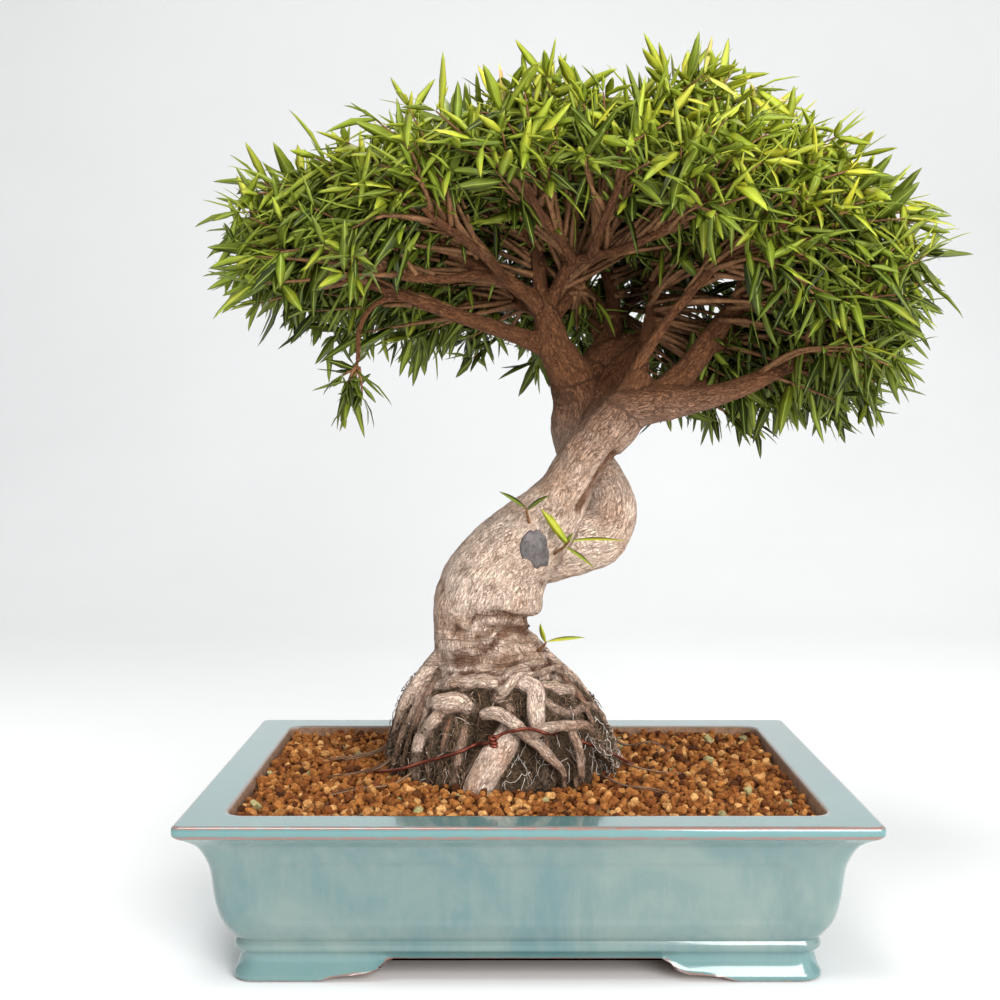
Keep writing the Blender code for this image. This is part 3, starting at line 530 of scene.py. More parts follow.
def makeMineralMaterial(name, look):
    material, tree, shader = newMaterial(name, look["constants"])
    colour, height = mineral(tree, objectCoords(tree), look)
    if "stops" in look:
        colour = mixColour(tree, 1.0, ramp(tree, attribute(tree, "tone"), look["stops"]), colour, "MULTIPLY")
    tree.links.new(colour, shader.inputs["Base Color"])
    bumped(tree, shader, height, *look["relief"])
    return material


barkMaterial = makeBarkMaterial()
leafMaterial = makeLeafMaterial()
twigMaterial = makeTwigMaterial()
glazeMaterial = makeGlazeMaterial()
mineralMaterials = {name: makeMineralMaterial(name, look)
                    for looks in (tonedLooks, plainLooks) for name, look in looks.items()}
print("materials are ready")


# Pot

potShape = dict(
    length=386, depth=300, rimWidth=25, outerCorner=4, innerCorner=13, cornerSteps=6, longSteps=96,
    shortSteps=74, rimTop=95, gapTop=12.9, sideShare=0.76, thinEdge=2.2, panelHeights=(36, 70),
    panelInset=17, panelMargin=30, panelCorner=7, panelDepth=1.1, panelEdge=2.4, drainRadius=13,
    drainSpacing=85, drainHeight=18.5,
)
# Inset from the rim's edge and height, down the outer wall from the lip to the foot.
wallProfile = (
    (1.2, 95), (0, 93.8), (0, 89.4), (1.4, 87.8), (6.6, 84.5), (11.2, 80), (14.8, 72), (16.8, 64),
    (18.6, 47), (21.3, 35), (25.6, 26), (27.8, 23.2), (26.9, 21), (27.2, 18), (29.4, 15.4),
    (29.6, 12.4), (28.4, 7), (26.6, 3.6), (26.6, 1.6), (28.4, 0),
)
cavityProfile = ((36, 23), (31, 34), (26, 86), (25, 93.8), (23.8, 95))
footInside = ((33, 0), (38, 0), (43, 0), (43, 7), (43, 13), (44, 14))
rimFace = ((22.6, 0.25), (19, 0), (12.5, 0), (6, 0), (2.4, 0.25))  # inset and how thin the glaze is
wornHeights = ((93.2, 96), (87.6, 89.6))
# From a foot's outer face inwards, and height of its underside.
footOutline = ((45, 0), (49, 0.8), (55, 3.2), (65, 4.2), (75, 4.8), (81, 6.6), (84, 10.6), (87, 12.9))


def cornerAt(inset):
    share = clamped(inset / potShape["rimWidth"])
    return potShape["outerCorner"] + (potShape["innerCorner"] - potShape["outerCorner"]) * share ** 2


# Points around one rounded rectangle, set in from the pot's rim.
def rimRing(inset, height, corner):
    halfX = potShape["length"] / 2 - inset
    halfY = potShape["depth"] / 2 - inset
    steps = potShape["cornerSteps"]
    arcs = []
    for signX, signY, start in ((1, 1, 0), (-1, 1, 90), (-1, -1, 180), (1, -1, 270)):
        middle = Vector((signX * (halfX - corner), signY * (halfY - corner), height))
        turns = [math.radians(start + 90 * step / steps) for step in range(steps + 1)]
        arcs.append([middle + corner * Vector((math.cos(turn), math.sin(turn), 0)) for turn in turns])
    points = []
    for index, arc in enumerate(arcs):
        sideSteps = (potShape["longSteps"], potShape["shortSteps"])[index % 2]
        nextStart = arcs[(index + 1) % 4][0]
        points += arc
        points += [arc[-1].lerp(nextStart, step / sideSteps) for step in range(1, sideSteps)]
    return points


# Height of the underside between two feet, read off the foot's outline.
def gapHeight(across):
    for (near, low), (far, high) in zip(footOutline, footOutline[1:]):
        if across < far:
            return low + (high - low) * max(across - near, 0) / (far - near)
    return potShape["gapTop"]


# How far inside the sunken panel a place on a wall is, from 0 at its edge to 1.
def panelShare(along, height, halfSide):
    low, high = potShape["panelHeights"]
    halfHeight = (high - low) / 2
    halfLength = halfSide - potShape["panelMargin"]
    corner = potShape["panelCorner"]
    outX = max(abs(along) - (halfLength - corner), 0)
    outZ = max(abs(height - (low + high) / 2) - (halfHeight - corner), 0)
    return smoothStep((corner - math.hypot(outX, outZ)) / potShape["panelEdge"] + 0.5)


def shapePotVert(vert, bareLayer, thinLayer):
    onLong = potShape["length"] / 2 - abs(vert.co.x) > potShape["depth"] / 2 - abs(vert.co.y)
    along, out = (0, 1) if onLong else (1, 0)
    half = (potShape["length"], potShape["depth"])[along] / 2
    outerWall = vert[bareLayer] < 0.5
    low, high = potShape["panelHeights"]
    if outerWall and low - 6 < vert.co.z < high + 6:
        share = panelShare(vert.co[along], vert.co.z, half - potShape["panelInset"])
        vert.co[out] -= math.copysign(potShape["panelDepth"] * share, vert.co[out])
    if vert.co.z < potShape["gapTop"]:
        share = 1 if onLong else potShape["sideShare"]
        gap = gapHeight((half - wallProfile[-1][0] - abs(vert.co[along])) / share)
        if outerWall:
            vert[thinLayer] = max(vert[thinLayer], 1 - (max(vert.co.z, gap) - gap) / potShape["thinEdge"])
        vert.co.z = max(vert.co.z, gap)


def makePot():
    # each ring: inset, height, bare clay, thin glaze
    rings = [(*point, 1, 0) for point in flatRoute(cavityProfile, 4)]
    rings[-1] = (*rings[-1][:2], 0, 1)
    rings += [(inset, potShape["rimTop"], 0, thin) for inset, thin in rimFace]
    for point in flatRoute(wallProfile, 1.6):
        onEdge = any(low < point.y < high for low, high in wornHeights)
        rings.append((*point, 0, 0.8 if onEdge else 0))
    rings += [(*point, 1, 0) for point in footInside]
    around = len(rimRing(0, 0, 5))
    bm = bmesh.new()
    bareLayer = bm.verts.layers.float.new("bare")
    thinLayer = bm.verts.layers.float.new("thin")
    bmesh.ops.create_grid(bm, x_segments=around, y_segments=len(rings) - 1, size=1)
    bm.verts.ensure_lookup_table()
    for row, (inset, height, bare, thin) in enumerate(rings):
        points = rimRing(inset, height, cornerAt(inset))
        for column in range(around + 1):
            vert = bm.verts[row * (around + 1) + column]
            vert.co = points[column % around]
            vert[bareLayer] = bare
            vert[thinLayer] = thin
            shapePotVert(vert, bareLayer, thinLayer)
    bmesh.ops.remove_doubles(bm, verts=bm.verts, dist=0.01)
    bmesh.ops.holes_fill(bm, edges=openEdges(bm), sides=0)
    bmesh.ops.recalc_face_normals(bm, faces=bm.faces)
    pot = addPiece("glazedPot", bm, [glazeMaterial], ["pot"])
    pot.data.set_sharp_from_angle(angle=math.radians(50))
    cutDrains(pot)


# The two drain holes, cut by a Boolean that is applied at once.
def cutDrains(pot):
    radius = potShape["drainRadius"]
    bm = bmesh.new()
    for side in (-1, 1):
        place = Matrix.Translation((side * potShape["drainSpacing"], 0, potShape["drainHeight"]))
        bmesh.ops.create_cone(bm, segments=32, radius1=radius, radius2=radius, depth=20, cap_ends=True,
                              matrix=place)
    bmesh.ops.transform(bm, matrix=toFrame, verts=bm.verts)
    cutter = placed("drainCutter", newMesh("drainCutter", bm))
    cut = pot.modifiers.new("drains", "BOOLEAN")
    cut.object = cutter
    cut.solver = "EXACT"
    pot.data = evaluatedMesh(pot)
    pot.modifiers.clear()
    bpy.data.objects.remove(cutter)


def makeDrainMeshes():
    for side in ("Left", "Right"):
        node = "drain_mesh_" + side.lower()
        low, high = potBox(node)
        bm = bmesh.new()
        bmesh.ops.create_grid(bm, x_segments=12, y_segments=12, size=(high.x - low.x) / 2)
        bmesh.ops.wireframe(bm, faces=bm.faces, thickness=1.0, use_even_offset=True, use_replace=True,
                            use_boundary=True)
        bmesh.ops.translate(bm, vec=(low + high) / 2, verts=bm.verts)
        addPiece("drainMesh" + side, bm, [mineralMaterials["meshPlastic"]], [node], False)


# Wood

# Routes through the wood in millimetres about the pot: x, y, z and radius.
woodRoutes = {
    "rootBall": ((-13, 10, 50, 71), (-13, 10, 92, 69), (-13, 10, 106, 60), (-14, 10, 122, 49),
                 (-17, 9, 138, 42), (-22, 8, 158, 36)),
    "trunk": ((-18, 9, 130, 43), (-22, 8, 157, 37), (-26, 7, 170, 33), (-28, 6, 181, 31), (-26, 5, 196, 33),
              (-21, 3, 210, 33), (-12, 0, 225, 29.5), (0, -4, 239, 27), (12, -9, 253, 22.5),
              (23, -13, 268, 18), (34, -17, 286, 16.5), (46, -19, 303, 16), (59, -20, 318, 15.5),
              (67, -19, 333, 10.5), (72, -17, 345, 7.5)),
    "loop": ((10, 1, 232, 20), (22, 7, 233, 20), (36, 12, 237, 20), (50, 19, 243, 19), (56, 26, 261, 17),
             (49, 36, 281, 14.5), (37, 40, 296, 15.8), (33, 39, 312, 16), (34, 35, 329, 15.5),
             (32, 32, 340, 16)),
    "leftLeader": ((32, 32, 338, 15.5), (26, 29, 351, 13.5), (20, 27, 363, 11.5), (16, 25, 376, 9.5),
                   (13, 23, 388, 7.8), (10, 21, 402, 6.4), (8, 15, 420, 5.4), (4, 5, 442, 4.4),
                   (8, -11, 470, 3.6), (18, -29, 494, 3)),
    "rearLeader": ((38, 37, 336, 13), (49, 45, 352, 12.5), (54, 53, 365, 9.5), (60, 63, 382, 7),
                   (58, 73, 412, 5.6), (44, 85, 442, 4.6), (36, 95, 476, 3.6)),
    "stub": ((52, 43, 356, 11), (67, 42, 364, 8.5)),
    "rearMass": ((40, 36, 320, 14), (53, 37, 335, 13), (63, 38, 350, 9)),
    "rightLimb": ((60, -20, 320, 15.3), (70, -22, 323.5, 13.6), (80, -23, 325, 11.9), (100, -27, 327, 9),
                  (119, -31, 331, 7.6), (138, -31, 338, 6.9), (156, -25, 346, 6), (176, -13, 352, 5),
                  (192, -1, 348, 4.2)),
    "rightLowTip": ((156, -25, 346, 5), (178, -37, 362, 4.4), (190, -53, 376, 3.4)),
    "upperRight": ((70, -20, 323, 10.5), (85, -17, 332, 9.4), (103, -15, 349, 8.2), (116, -13, 367, 7.4),
                   (130, -12, 384, 6.6), (148, -11, 398, 5.8), (172, -9, 410, 4.8), (206, -5, 424, 3.6)),
    "upperFork": ((130, -12, 384, 5.4), (138, -15, 412, 5), (140, -19, 447, 4.2), (140, -21, 484, 3.2)),
    "upperSide": ((148, -11, 398, 4.8), (170, -11, 426, 4.2), (186, -11, 452, 3.2)),
    "lowLeft": ((24, 29, 355, 9.5), (12, 27, 364, 7.6), (-6, 21, 371, 6.6), (-29, 11, 378, 6),
                (-50, 1, 384, 5.3), (-74, -11, 392, 4.6), (-100, -19, 400, 4), (-142, -13, 410, 3)),
    "hangingTwig": ((-80, -13, 393, 3.2), (-95, -17, 386, 2.8), (-103, -19, 372, 2.5),
                    (-104, -20, 354, 2.3)),
    "midLeft": ((15, 25, 382, 7.2), (3, 17, 395, 6.5), (-13, 7, 405, 5.8), (-30, -3, 411, 5.2),
                (-48, -11, 424, 4.6), (-70, -19, 446, 3.9), (-88, -25, 466, 3)),
    "flatLeft": ((-16, 5, 406, 5.1), (-33, -7, 406, 4.6), (-51, -23, 402, 4.2), (-73, -45, 401, 3.8),
                 (-90, -61, 403, 3)),
    "farLeft": ((-50, -11, 425, 4.2), (-84, -9, 436, 3.8), (-124, -11, 450, 3)),
    "backLeft": ((13, 27, 384, 5.9), (-2, 43, 392, 5.3), (-25, 61, 398, 4.8), (-60, 69, 404, 4.2),
                 (-108, 69, 412, 3)),
    "backLeftUp": ((-25, 61, 398, 4.4), (-46, 69, 422, 4), (-76, 75, 452, 3)),
    "backLeftLow": ((-25, 61, 398, 4.2), (-40, 81, 392, 3.6), (-52, 93, 388, 2.9)),
    "crook": ((17, 21, 392, 5.8), (22, 7, 404, 5.2), (30, -7, 414, 5), (40, -21, 416, 4.6),
              (58, -41, 418, 4), (80, -65, 426, 3.6), (104, -93, 442, 3)),
    "crookUp": ((30, -7, 414, 4.6), (22, -31, 424, 4.2), (8, -65, 436, 3.8), (-2, -95, 448, 3)),
    "crookMid": ((40, -21, 416, 4.2), (44, -49, 428, 3.8), (52, -91, 448, 3)),
    "frontLeft": ((-13, 7, 405, 4.8), (-26, -29, 416, 4.2), (-46, -71, 426, 3.8), (-56, -87, 432, 3)),
    "highLeft": ((8, 13, 422, 4.6), (-8, 5, 452, 4), (-28, -11, 486, 3)),
    "innerRight": ((18, 27, 380, 5.6), (34, 35, 404, 5), (50, 31, 432, 4.4), (66, 9, 466, 3.8),
                   (78, -15, 492, 3)),
    "slimFront": ((66, -19, 334, 7), (70, -20, 349, 5.6), (78, -25, 363, 4.8), (94, -37, 386, 4.2),
                  (118, -59, 410, 3.8), (148, -87, 426, 3)),
    "slimBack": ((70, -13, 340, 7), (75, 1, 360, 5.8), (82, 21, 388, 5), (90, 49, 432, 4.2),
                 (96, 77, 470, 3.2)),
    "backRight": ((82, -15, 329, 8), (106, 11, 336, 6.2), (130, 39, 348, 5.6), (150, 67, 360, 4.8),
                  (162, 83, 364, 3.6)),
    "backRightLow": ((106, 11, 336, 5), (114, 45, 336, 4.2), (118, 73, 334, 3)),
    "midRight": ((109, -13, 358, 6), (134, 11, 368, 5.4), (160, 35, 386, 4.8), (182, 55, 404, 4.2),
                 (196, 69, 414, 3)),
    "midRightUp": ((134, 11, 368, 4.8), (146, 41, 406, 4.2), (154, 69, 448, 3)),
    "rearLeft": ((54, 53, 365, 6), (40, 81, 396, 4.8), (26, 113, 426, 3.8), (22, 125, 436, 3)),
    "rearRight": ((54, 53, 365, 6), (70, 83, 392, 4.8), (88, 115, 420, 3.8), (93, 127, 429, 3)),
    "rearSide": ((60, 63, 382, 5), (22, 77, 430, 4.4), (-14, 83, 468, 3.8), (-22, 84, 478, 3)),
    "outerRight": ((172, -9, 410, 4.2), (200, -3, 398, 3.8), (222, -1, 392, 3)),
}
# Roots at the sides and the back, half sunk in the root ball, and the earth that they hold.
earthyRoutes = ("rootBall", "trunk", "earthLeft", "earthRight", "earthFront", "earthFrontLeft")
sideRoots = dict(
    cutRoot=((-9, -34, 125, 7.4), (-13, -40, 118, 8.8), (-19, -46, 110, 9.4), (-24, -49, 101, 9.6),
             (-28, -51, 93, 9.7), (-31, -51, 85, 9.6)),
    crossing=((-27, -36, 134, 3.4), (-23, -40, 136, 4.5), (-17, -43, 136, 4.5), (-11, -46, 133.5, 4.2),
              (-5, -49, 129, 3.9), (2, -51, 123.5, 3.6), (9, -53, 117.5, 3.4), (16, -55, 110, 3.0),
              (21, -56, 104, 2.5), (24, -57, 97, 1.8), (26, -58, 88, 1.3)),
    fork=((0, -48, 122, 2.6), (5, -52, 126, 3.4), (12, -54, 129, 3.7), (19, -54, 130, 3.6),
          (28, -52, 130.5, 3.3), (37, -46, 129, 2.9), (43, -39, 121, 2.3), (49, -34, 112, 1.8),
          (56, -26, 102, 1.4), (60, -18, 92, 1.0)),
    forkDown=((27, -51, 129, 2.7), (31, -53, 121, 2.8), (32, -55, 112, 2.6), (33, -56, 104, 2.2),
              (34, -55, 92, 1.6)),
    earthLeft=((-50, 10, 158, 8), (-60, 10, 142, 15), (-66, 10, 122, 19), (-69, 10, 92, 22)),
    earthRight=((14, 8, 150, 12), (26, 8, 132, 17), (34, 8, 112, 21), (37, 8, 90, 23)),
    earthFront=((4, -8, 146, 18), (8, -14, 130, 24), (12, -19, 110, 29), (12, -20, 88, 31)),
    earthFrontLeft=((-34, -2, 146, 18), (-40, -6, 128, 25), (-42, -9, 108, 29), (-44, -9, 88, 31)),
    leftFlare=((-48, 4, 174, 4), (-56, -3, 165, 4.4), (-65, -4, 153, 4.8), (-73, -3, 141, 4.8),
               (-78, 0, 130, 4.6), (-81, 2, 117, 4.4), (-85, 2, 103, 4.2), (-86, 2, 90, 3.6)),
    leftLow=((-60, -8, 148, 2.6), (-70, -10, 132, 3.0), (-77, -10, 118, 2.8), (-82, -12, 104, 2.2),
             (-86, -14, 92, 1.8)),
    leftThin=((-58, -10, 150, 1.8), (-67, -14, 132, 2.0), (-73, -17, 116, 1.8), (-77, -20, 100, 1.5),
              (-79, -22, 90, 1.1)),
    leftRear=((-52, 20, 168, 5), (-64, 22, 152, 5.2), (-74, 24, 134, 5), (-80, 26, 112, 4.6),
              (-83, 27, 90, 4.4)),
    rightFlare=((6, 10, 170, 6), (20, 8, 158, 4.6), (31, 6, 148, 4.4), (38, 5, 138, 4.2), (45, 4, 127, 4),
                (51, 4, 115, 3.6), (57, 3, 102, 3.2), (60, 3, 90, 3)),
    rightLow=((24, -4, 154, 1.8), (34, -8, 142, 2.0), (40, -12, 130, 2.0), (46, -16, 116, 1.8),
              (52, -18, 100, 1.6), (55, -20, 90, 1.2)),
    sideLeft=((-60, -16, 134, 3), (-66, -24, 116, 3.4), (-68, -30, 92, 3)),
    backOne=((-40, 46, 140, 6), (-52, 58, 120, 6.5), (-56, 62, 92, 6)),
    backTwo=((-4, 48, 140, 6), (0, 62, 118, 6.5), (2, 70, 92, 6.5)),
    backThree=((24, 40, 138, 5.5), (38, 52, 118, 6), (44, 56, 92, 5.5)),
    backCross=((-34, 48, 128, 3.6), (-14, 58, 120, 4), (8, 60, 124, 4), (30, 50, 116, 3.4)),
    backThin=((-20, 46, 136, 3), (-22, 62, 112, 3.2), (-24, 68, 92, 3)),
    rightBack=((28, 24, 148, 4), (42, 28, 126, 4.4), (52, 32, 92, 4)),
)
# Roots over the front of the root ball, which lie on its face: across, height and radius.
frontRoots = dict(
    ridgeHigh=((-66, 139, 2.8), (-56, 146, 3.8), (-47, 151, 4.2), (-36, 154, 4.6), (-26, 155, 4.6),
               (-18, 154, 4.0), (-12, 151, 2.8)),
    lump=((-60, 138, 4.2), (-53, 140, 5.8), (-45, 141, 6.5), (-38, 139, 5.8), (-33, 136, 3.2)),
    knee=((-17, 146, 3.4), (-11, 151, 4.6), (-8, 157, 5.0), (-3, 160, 4.6), (3, 158, 3.2)),
    middle=((-5, 152, 3.6), (4, 150, 5.2), (6, 142, 5.6), (6, 134, 5.4), (7, 127, 4.4)),
    ridgeRight=((1, 154, 3.0), (9, 157, 3.4), (17, 158, 3.4), (24, 157, 2.8)),
    ridgeLower=((0, 149, 3.0), (9, 151, 3.6), (20, 148, 3.6), (30, 143, 3.4), (36, 138, 2.2)),
    rightBranch=((11, 143, 3.0), (21, 136, 2.8), (29, 133, 2.6), (38, 134, 2.8), (46, 130, 2.6),
                 (52, 118, 2.0)),
    brownLeft=((-54, 132, 4.0), (-61, 124, 4.8), (-65, 116, 4.6), (-68, 106, 4.0), (-69, 92, 3.4)),
    thinLeft=((-56, 130, 1.8), (-58, 118, 2.0), (-60, 106, 1.8), (-62, 92, 1.4)),
    stubLeft=((-38, 126, 2.0), (-40, 114, 2.6), (-42, 105, 2.6), (-43, 90, 1.8)),
    smallMiddle=((-20, 144, 1.8), (-13, 140, 2.1), (-8, 134, 1.8)),
    thinLow=((-46, 132, 1.4), (-50, 120, 1.5), (-53, 106, 1.3), (-54, 90, 1.1)),
    thinRight=((12, 124, 1.4), (14, 112, 1.3), (12, 100, 1.2), (14, 88, 1.0)),
    thinSide=((36, 138, 1.6), (42, 128, 1.4), (44, 112, 1.2), (47, 90, 1.0)),
)
woodShape = dict(voxel=1.35, softening=3, kept=0.52, cutHeight=86, plugTop=100, plugRadius=74.5,
                 holeFloor=50.3, ballRecess=4, sunk=-0.4)


# Gives a route of across, height and radius its depth, so that it lies on the wood there.
def laidOn(tree, route):
    laid = []
    for x, z, radius in route:
        place = barkFront(tree, x, z)[0]
        depth = place.y if place else tree.find_nearest(Vector((x, 0, z)))[0].y
        laid.append((x, depth + woodShape["sunk"] * radius, z, radius))
    return laid


# A branch leaves its parent at a slant, from inside the wood a little further back, and tapers off.
def grownRoute(route, parents):
    foot, radius = Vector(route[0][:3]), route[0][3]
    spots = [(point, index, line) for line in parents for index, point in enumerate(line)]
    _, index, line = min(spots, key=lambda spot: (spot[0].xyz - foot).length)
    while index > 0 and (line[index].xyz - foot).length < 1.7 * radius:
        index -= 1
    start = line[index].xyz.lerp(foot, 0.2)
    end = Vector(route[-1][:3])
    point = end + (end - Vector(route[-2][:3])).normalized() * route[-1][3] * 3
    knots = [(*knot[:3], knot[3] * (0.72 + 0.28 * smoothStep((knot[3] - 3) / 7))) for knot in route]
    return (*start, min(radius * 0.95, line[index].w * 0.8)), *knots, (*point, route[-1][3] * 0.25)


# A root's thickness and course vary a little along it.
def knobbly(route, seed):
    points = []
    for point in smoothRoute(route, 5):
        sway = noise.noise_vector(point.xyz * 0.09 + Vector((seed, 0, 0)))
        swell = 1 + 0.28 * noise.noise(point.xyz * 0.13 + Vector((0, seed, 0)))
        points.append((*(point.xyz + sway * min(point.w, 2.5) * 0.6), point.w * swell))
    return points


def tubeTree(routes):
    bm = bmesh.new()
    bm.from_mesh(tubeMesh("base", routes, 6, 5))
    tree = BVHTree.FromBMesh(bm)
    bm.free()
    return tree


# All the routes of the wood, from the root ball to the branch ends and down to the roots.
def allRoutes():
    ball = [(x, y, z, radius - woodShape["ballRecess"]) for x, y, z, radius in woodRoutes["rootBall"]]
    routes = {"rootBall": ball, "trunk": woodRoutes["trunk"], "loop": woodRoutes["loop"]}
    for name, route in woodRoutes.items():
        if name not in routes:
            parents = [smoothRoute(parent, 3) for parent in routes.values()]
            routes[name] = grownRoute(route, parents)
    earth = [route for name, route in sideRoots.items() if name in earthyRoutes]
    baseTree = tubeTree([ball, routes["trunk"], routes["loop"], *earth])
    for name, route in frontRoots.items():
        routes[name] = knobbly(laidOn(baseTree, route), len(routes))
    routes.update(sideRoots)
    for number, name in enumerate(("crossing", "fork", "forkDown")):
        routes[name] = knobbly(sideRoots[name], number)
    return routes


# The tubes melted into one skin.
def meltedTubes(routes):
    guide = placed("wood", tubeMesh("wood", routes.values(), 4, 5))
    melt = guide.modifiers.new("melt", "REMESH")
    melt.mode = "VOXEL"
    melt.voxel_size = woodShape["voxel"]
    soften = guide.modifiers.new("soften", "SMOOTH")
    soften.factor = 0.5
    soften.iterations = woodShape["softening"]
    fewer = guide.modifiers.new("fewer", "DECIMATE")
    fewer.ratio = woodShape["kept"]
    bm = bmesh.new()
    bm.from_mesh(evaluatedMesh(guide))
    bpy.data.objects.remove(guide)
    return bm


def makeTrunk():
    routes = allRoutes()
    bm = meltedTubes(routes)
    cutHeight = woodShape["cutHeight"]
    # below the soil only a plain plug is left
    whole = bm.verts[:] + bm.edges[:] + bm.faces[:]
    bmesh.ops.bisect_plane(bm, geom=whole, plane_co=(0, 0, cutHeight), plane_no=(0, 0, 1), clear_inner=True)
    for vert in bm.verts:
        keepInHole(vert)
    rim = bmesh.ops.extrude_edge_only(bm, edges=openEdges(bm))["geom"]
    bmesh.ops.translate(bm, vec=(0, 0, woodShape["holeFloor"] - cutHeight), verts=vertsOf(rim))
    bmesh.ops.holes_fill(bm, edges=openEdges(bm), sides=0)
    bmesh.ops.recalc_face_normals(bm, faces=bm.faces)
    carveBark(bm, routes)
    return addPiece("ficusTrunk", bm, [barkMaterial], ["trunk"])


def keepInHole(vert):
    middle = Vector(woodRoutes["rootBall"][0][:2])
    away = vert.co.xy - middle
    if vert.co.z < woodShape["plugTop"] and away.length > woodShape["plugRadius"]:
        away.length = woodShape["plugRadius"]
        vert.co.xy = middle + away


# Samples along each route, each with its own axes, so that the grain can follow the wood.
def grainSamples(routes):
    samples = []
    for name, route in routes.items():
        points = smoothRoute(route, 4)
        side = Vector((1, 0.3, 0.1)).cross(points[1].xyz - points[0].xyz).normalized()
        along = 37.0 * len(samples)
        for index, point in enumerate(points):
            before = points[max(index - 1, 0)].xyz
            after = points[min(index + 1, len(points) - 1)].xyz
            axis = (after - before).normalized()
            side = (side - axis * side.dot(axis)).normalized()
            along += (point.xyz - before).length
            isEarthy = name in earthyRoutes
            samples.append((*point.xyz, point.w, *axis, *side, *axis.cross(side), along, isEarthy))
    return np.array(samples)


# For each point the sample whose bark is nearest.
def nearestGrain(points, samples):
    best = np.full(len(points), 1e9)
    chosen = np.zeros(len(points), int)
    thick = samples[:, 3] > 14
    for index in np.nonzero(thick)[0]:
        offset = points - samples[index, :3]
        along = offset @ samples[index, 4:7]
        across = np.sqrt(np.maximum((offset ** 2).sum(1) - along ** 2, 0)) - samples[index, 3]
        away = np.hypot(np.maximum(across, 0), np.maximum(np.abs(along) - 2.5, 0))
        closer = away < best
        best[closer] = away[closer]
        chosen[closer] = index
    thin = np.nonzero(~thick)[0]
    tree = KDTree(len(thin))
    for number, index in enumerate(thin):
        tree.insert(samples[index, :3], number)
    tree.balance()
    for number, point in enumerate(points):
        for _, found, distance in tree.find_n(point, 8):
            index = thin[found]
            if distance - samples[index, 3] < best[number]:
                best[number] = distance - samples[index, 3]
                chosen[number] = index
    return chosen


# Folds in the bark seen from the front: across and height along each fold, depth and width.
creases = (
    (((-46, 184), (-41, 187), (-33, 191), (-24, 194), (-16, 195), (-9, 192), (-2, 191),
      (6, 187)), 6.0, 2.8),
    (((-33, 188), (-24, 186), (-12, 186), (-2, 188), (5, 186)), 2.4, 1.8),
    (((-50, 163), (-41, 166), (-33, 167), (-28, 169), (-23, 174), (-18, 177), (-14, 181), (-6, 183),
      (4, 182)), 4.8, 1.9),
    (((-35, 173), (-28, 175), (-23, 177)), 1.6, 1.1),
    (((-39, 169), (-33, 171), (-27, 172)), 1.5, 1.0),
    (((-30, 180), (-22, 182), (-14, 186)), 1.4, 1.2),
    (((-45, 161), (-28, 164), (-12, 167), (-1, 171)), 1.3, 1.2),
    (((-40, 158), (-24, 160), (-12, 163), (3, 167), (14, 168)), 1.5, 1.2),
    (((-49, 155), (-36, 158), (-24, 159), (-15, 159)), 1.2, 1.2),
    (((-16, 153), (-8, 159), (1, 160), (16, 161)), 2.0, 1.3),
    (((-20, 164), (-6, 169), (8, 172)), 0.8, 1.0),
    (((2, 176), (10, 170), (17, 163)), 0.8, 1.1),
    (((-54, 214), (-52, 200), (-54, 190)), 1.0, 1.2),
    (((12, 261), (20, 258), (31, 258)), 1.8, 1.2),
    (((34, 260), (41, 271), (48, 283), (55, 293)), 6.0, 2.8),
    (((-30, 208), (-22, 214), (-8, 218), (2, 226)), 0.7, 1.1),
    (((23, 331), (33, 335), (44, 330)), 1.6, 1.3),
    (((22, 326), (33, 329), (45, 325)), 1.3, 1.2),
)
# Wider dents and swellings: across, height, half width, half height and depth, below zero outwards.
dents = (
    (-18, 184, 26, 6, 2.6), (-30, 172, 14, 6, 1.4), (-18, 203, 26, 6, -2.0), (6, 196, 12, 7, -2.4),
    (-47, 172, 4, 6, -2.2), (24, 302, 4.5, 4.5, -1.6), (24, 302, 1.6, 1.6, 3.0), (-31, 217, 4, 3, -1.0),
    (-31, 217, 1.6, 1.2, 2.0), (68, 264, 3, 3, -1.8), (33, 322, 12, 5, -1.2), (30, 206, 5, 4, -1.6),
    (88, 318, 3, 3, -1.8), (110, 330, 2.5, 2.5, -1.4), (70, 330, 2.2, 2.2, -1.6), (18, 362, 3, 3, -1.6),
)


barkShape = dict(
    ridge=0.6, knobs=0.9, rings=0.4, fine=0.3, wrinkle=1.3, thick=12, collarFoot=148, collarTop=178,
    stainTop=136, stainFade=30, stainMost=0.62, stainRadius=5, earthTop=149, earthUneven=12, rootZone=158,
    ageMiddle=306, ageFade=100, ageShare=0.37, youngRadius=6,
)


def stretchedNoise(point, *scales):
    return noise.noise(Vector([part * scale for part, scale in zip(point, scales)]))


# How deep the folds are at each point, and how far the dents and swellings go.
def frontRelief(points, normals):
    folds = np.zeros(len(points))
    swell = np.zeros(len(points))
    front = (normals[:, 1] < 0.35) & (points[:, 1] < 15)
    for knots, depth, width in creases:
        away = np.full(len(points), 1e9)
        for across, height in flatRoute(knots, 1.5):
            away = np.minimum(away, np.hypot(points[:, 0] - across, points[:, 2] - height))
        folds = np.maximum(folds, front * depth * np.exp(-(away / width) ** 2))
    for across, height, wide, tall, depth in dents:
        near = ((points[:, 0] - across) / wide) ** 2 + ((points[:, 2] - height) / tall) ** 2
        swell = swell + front * depth * np.exp(-near)
    return folds, swell


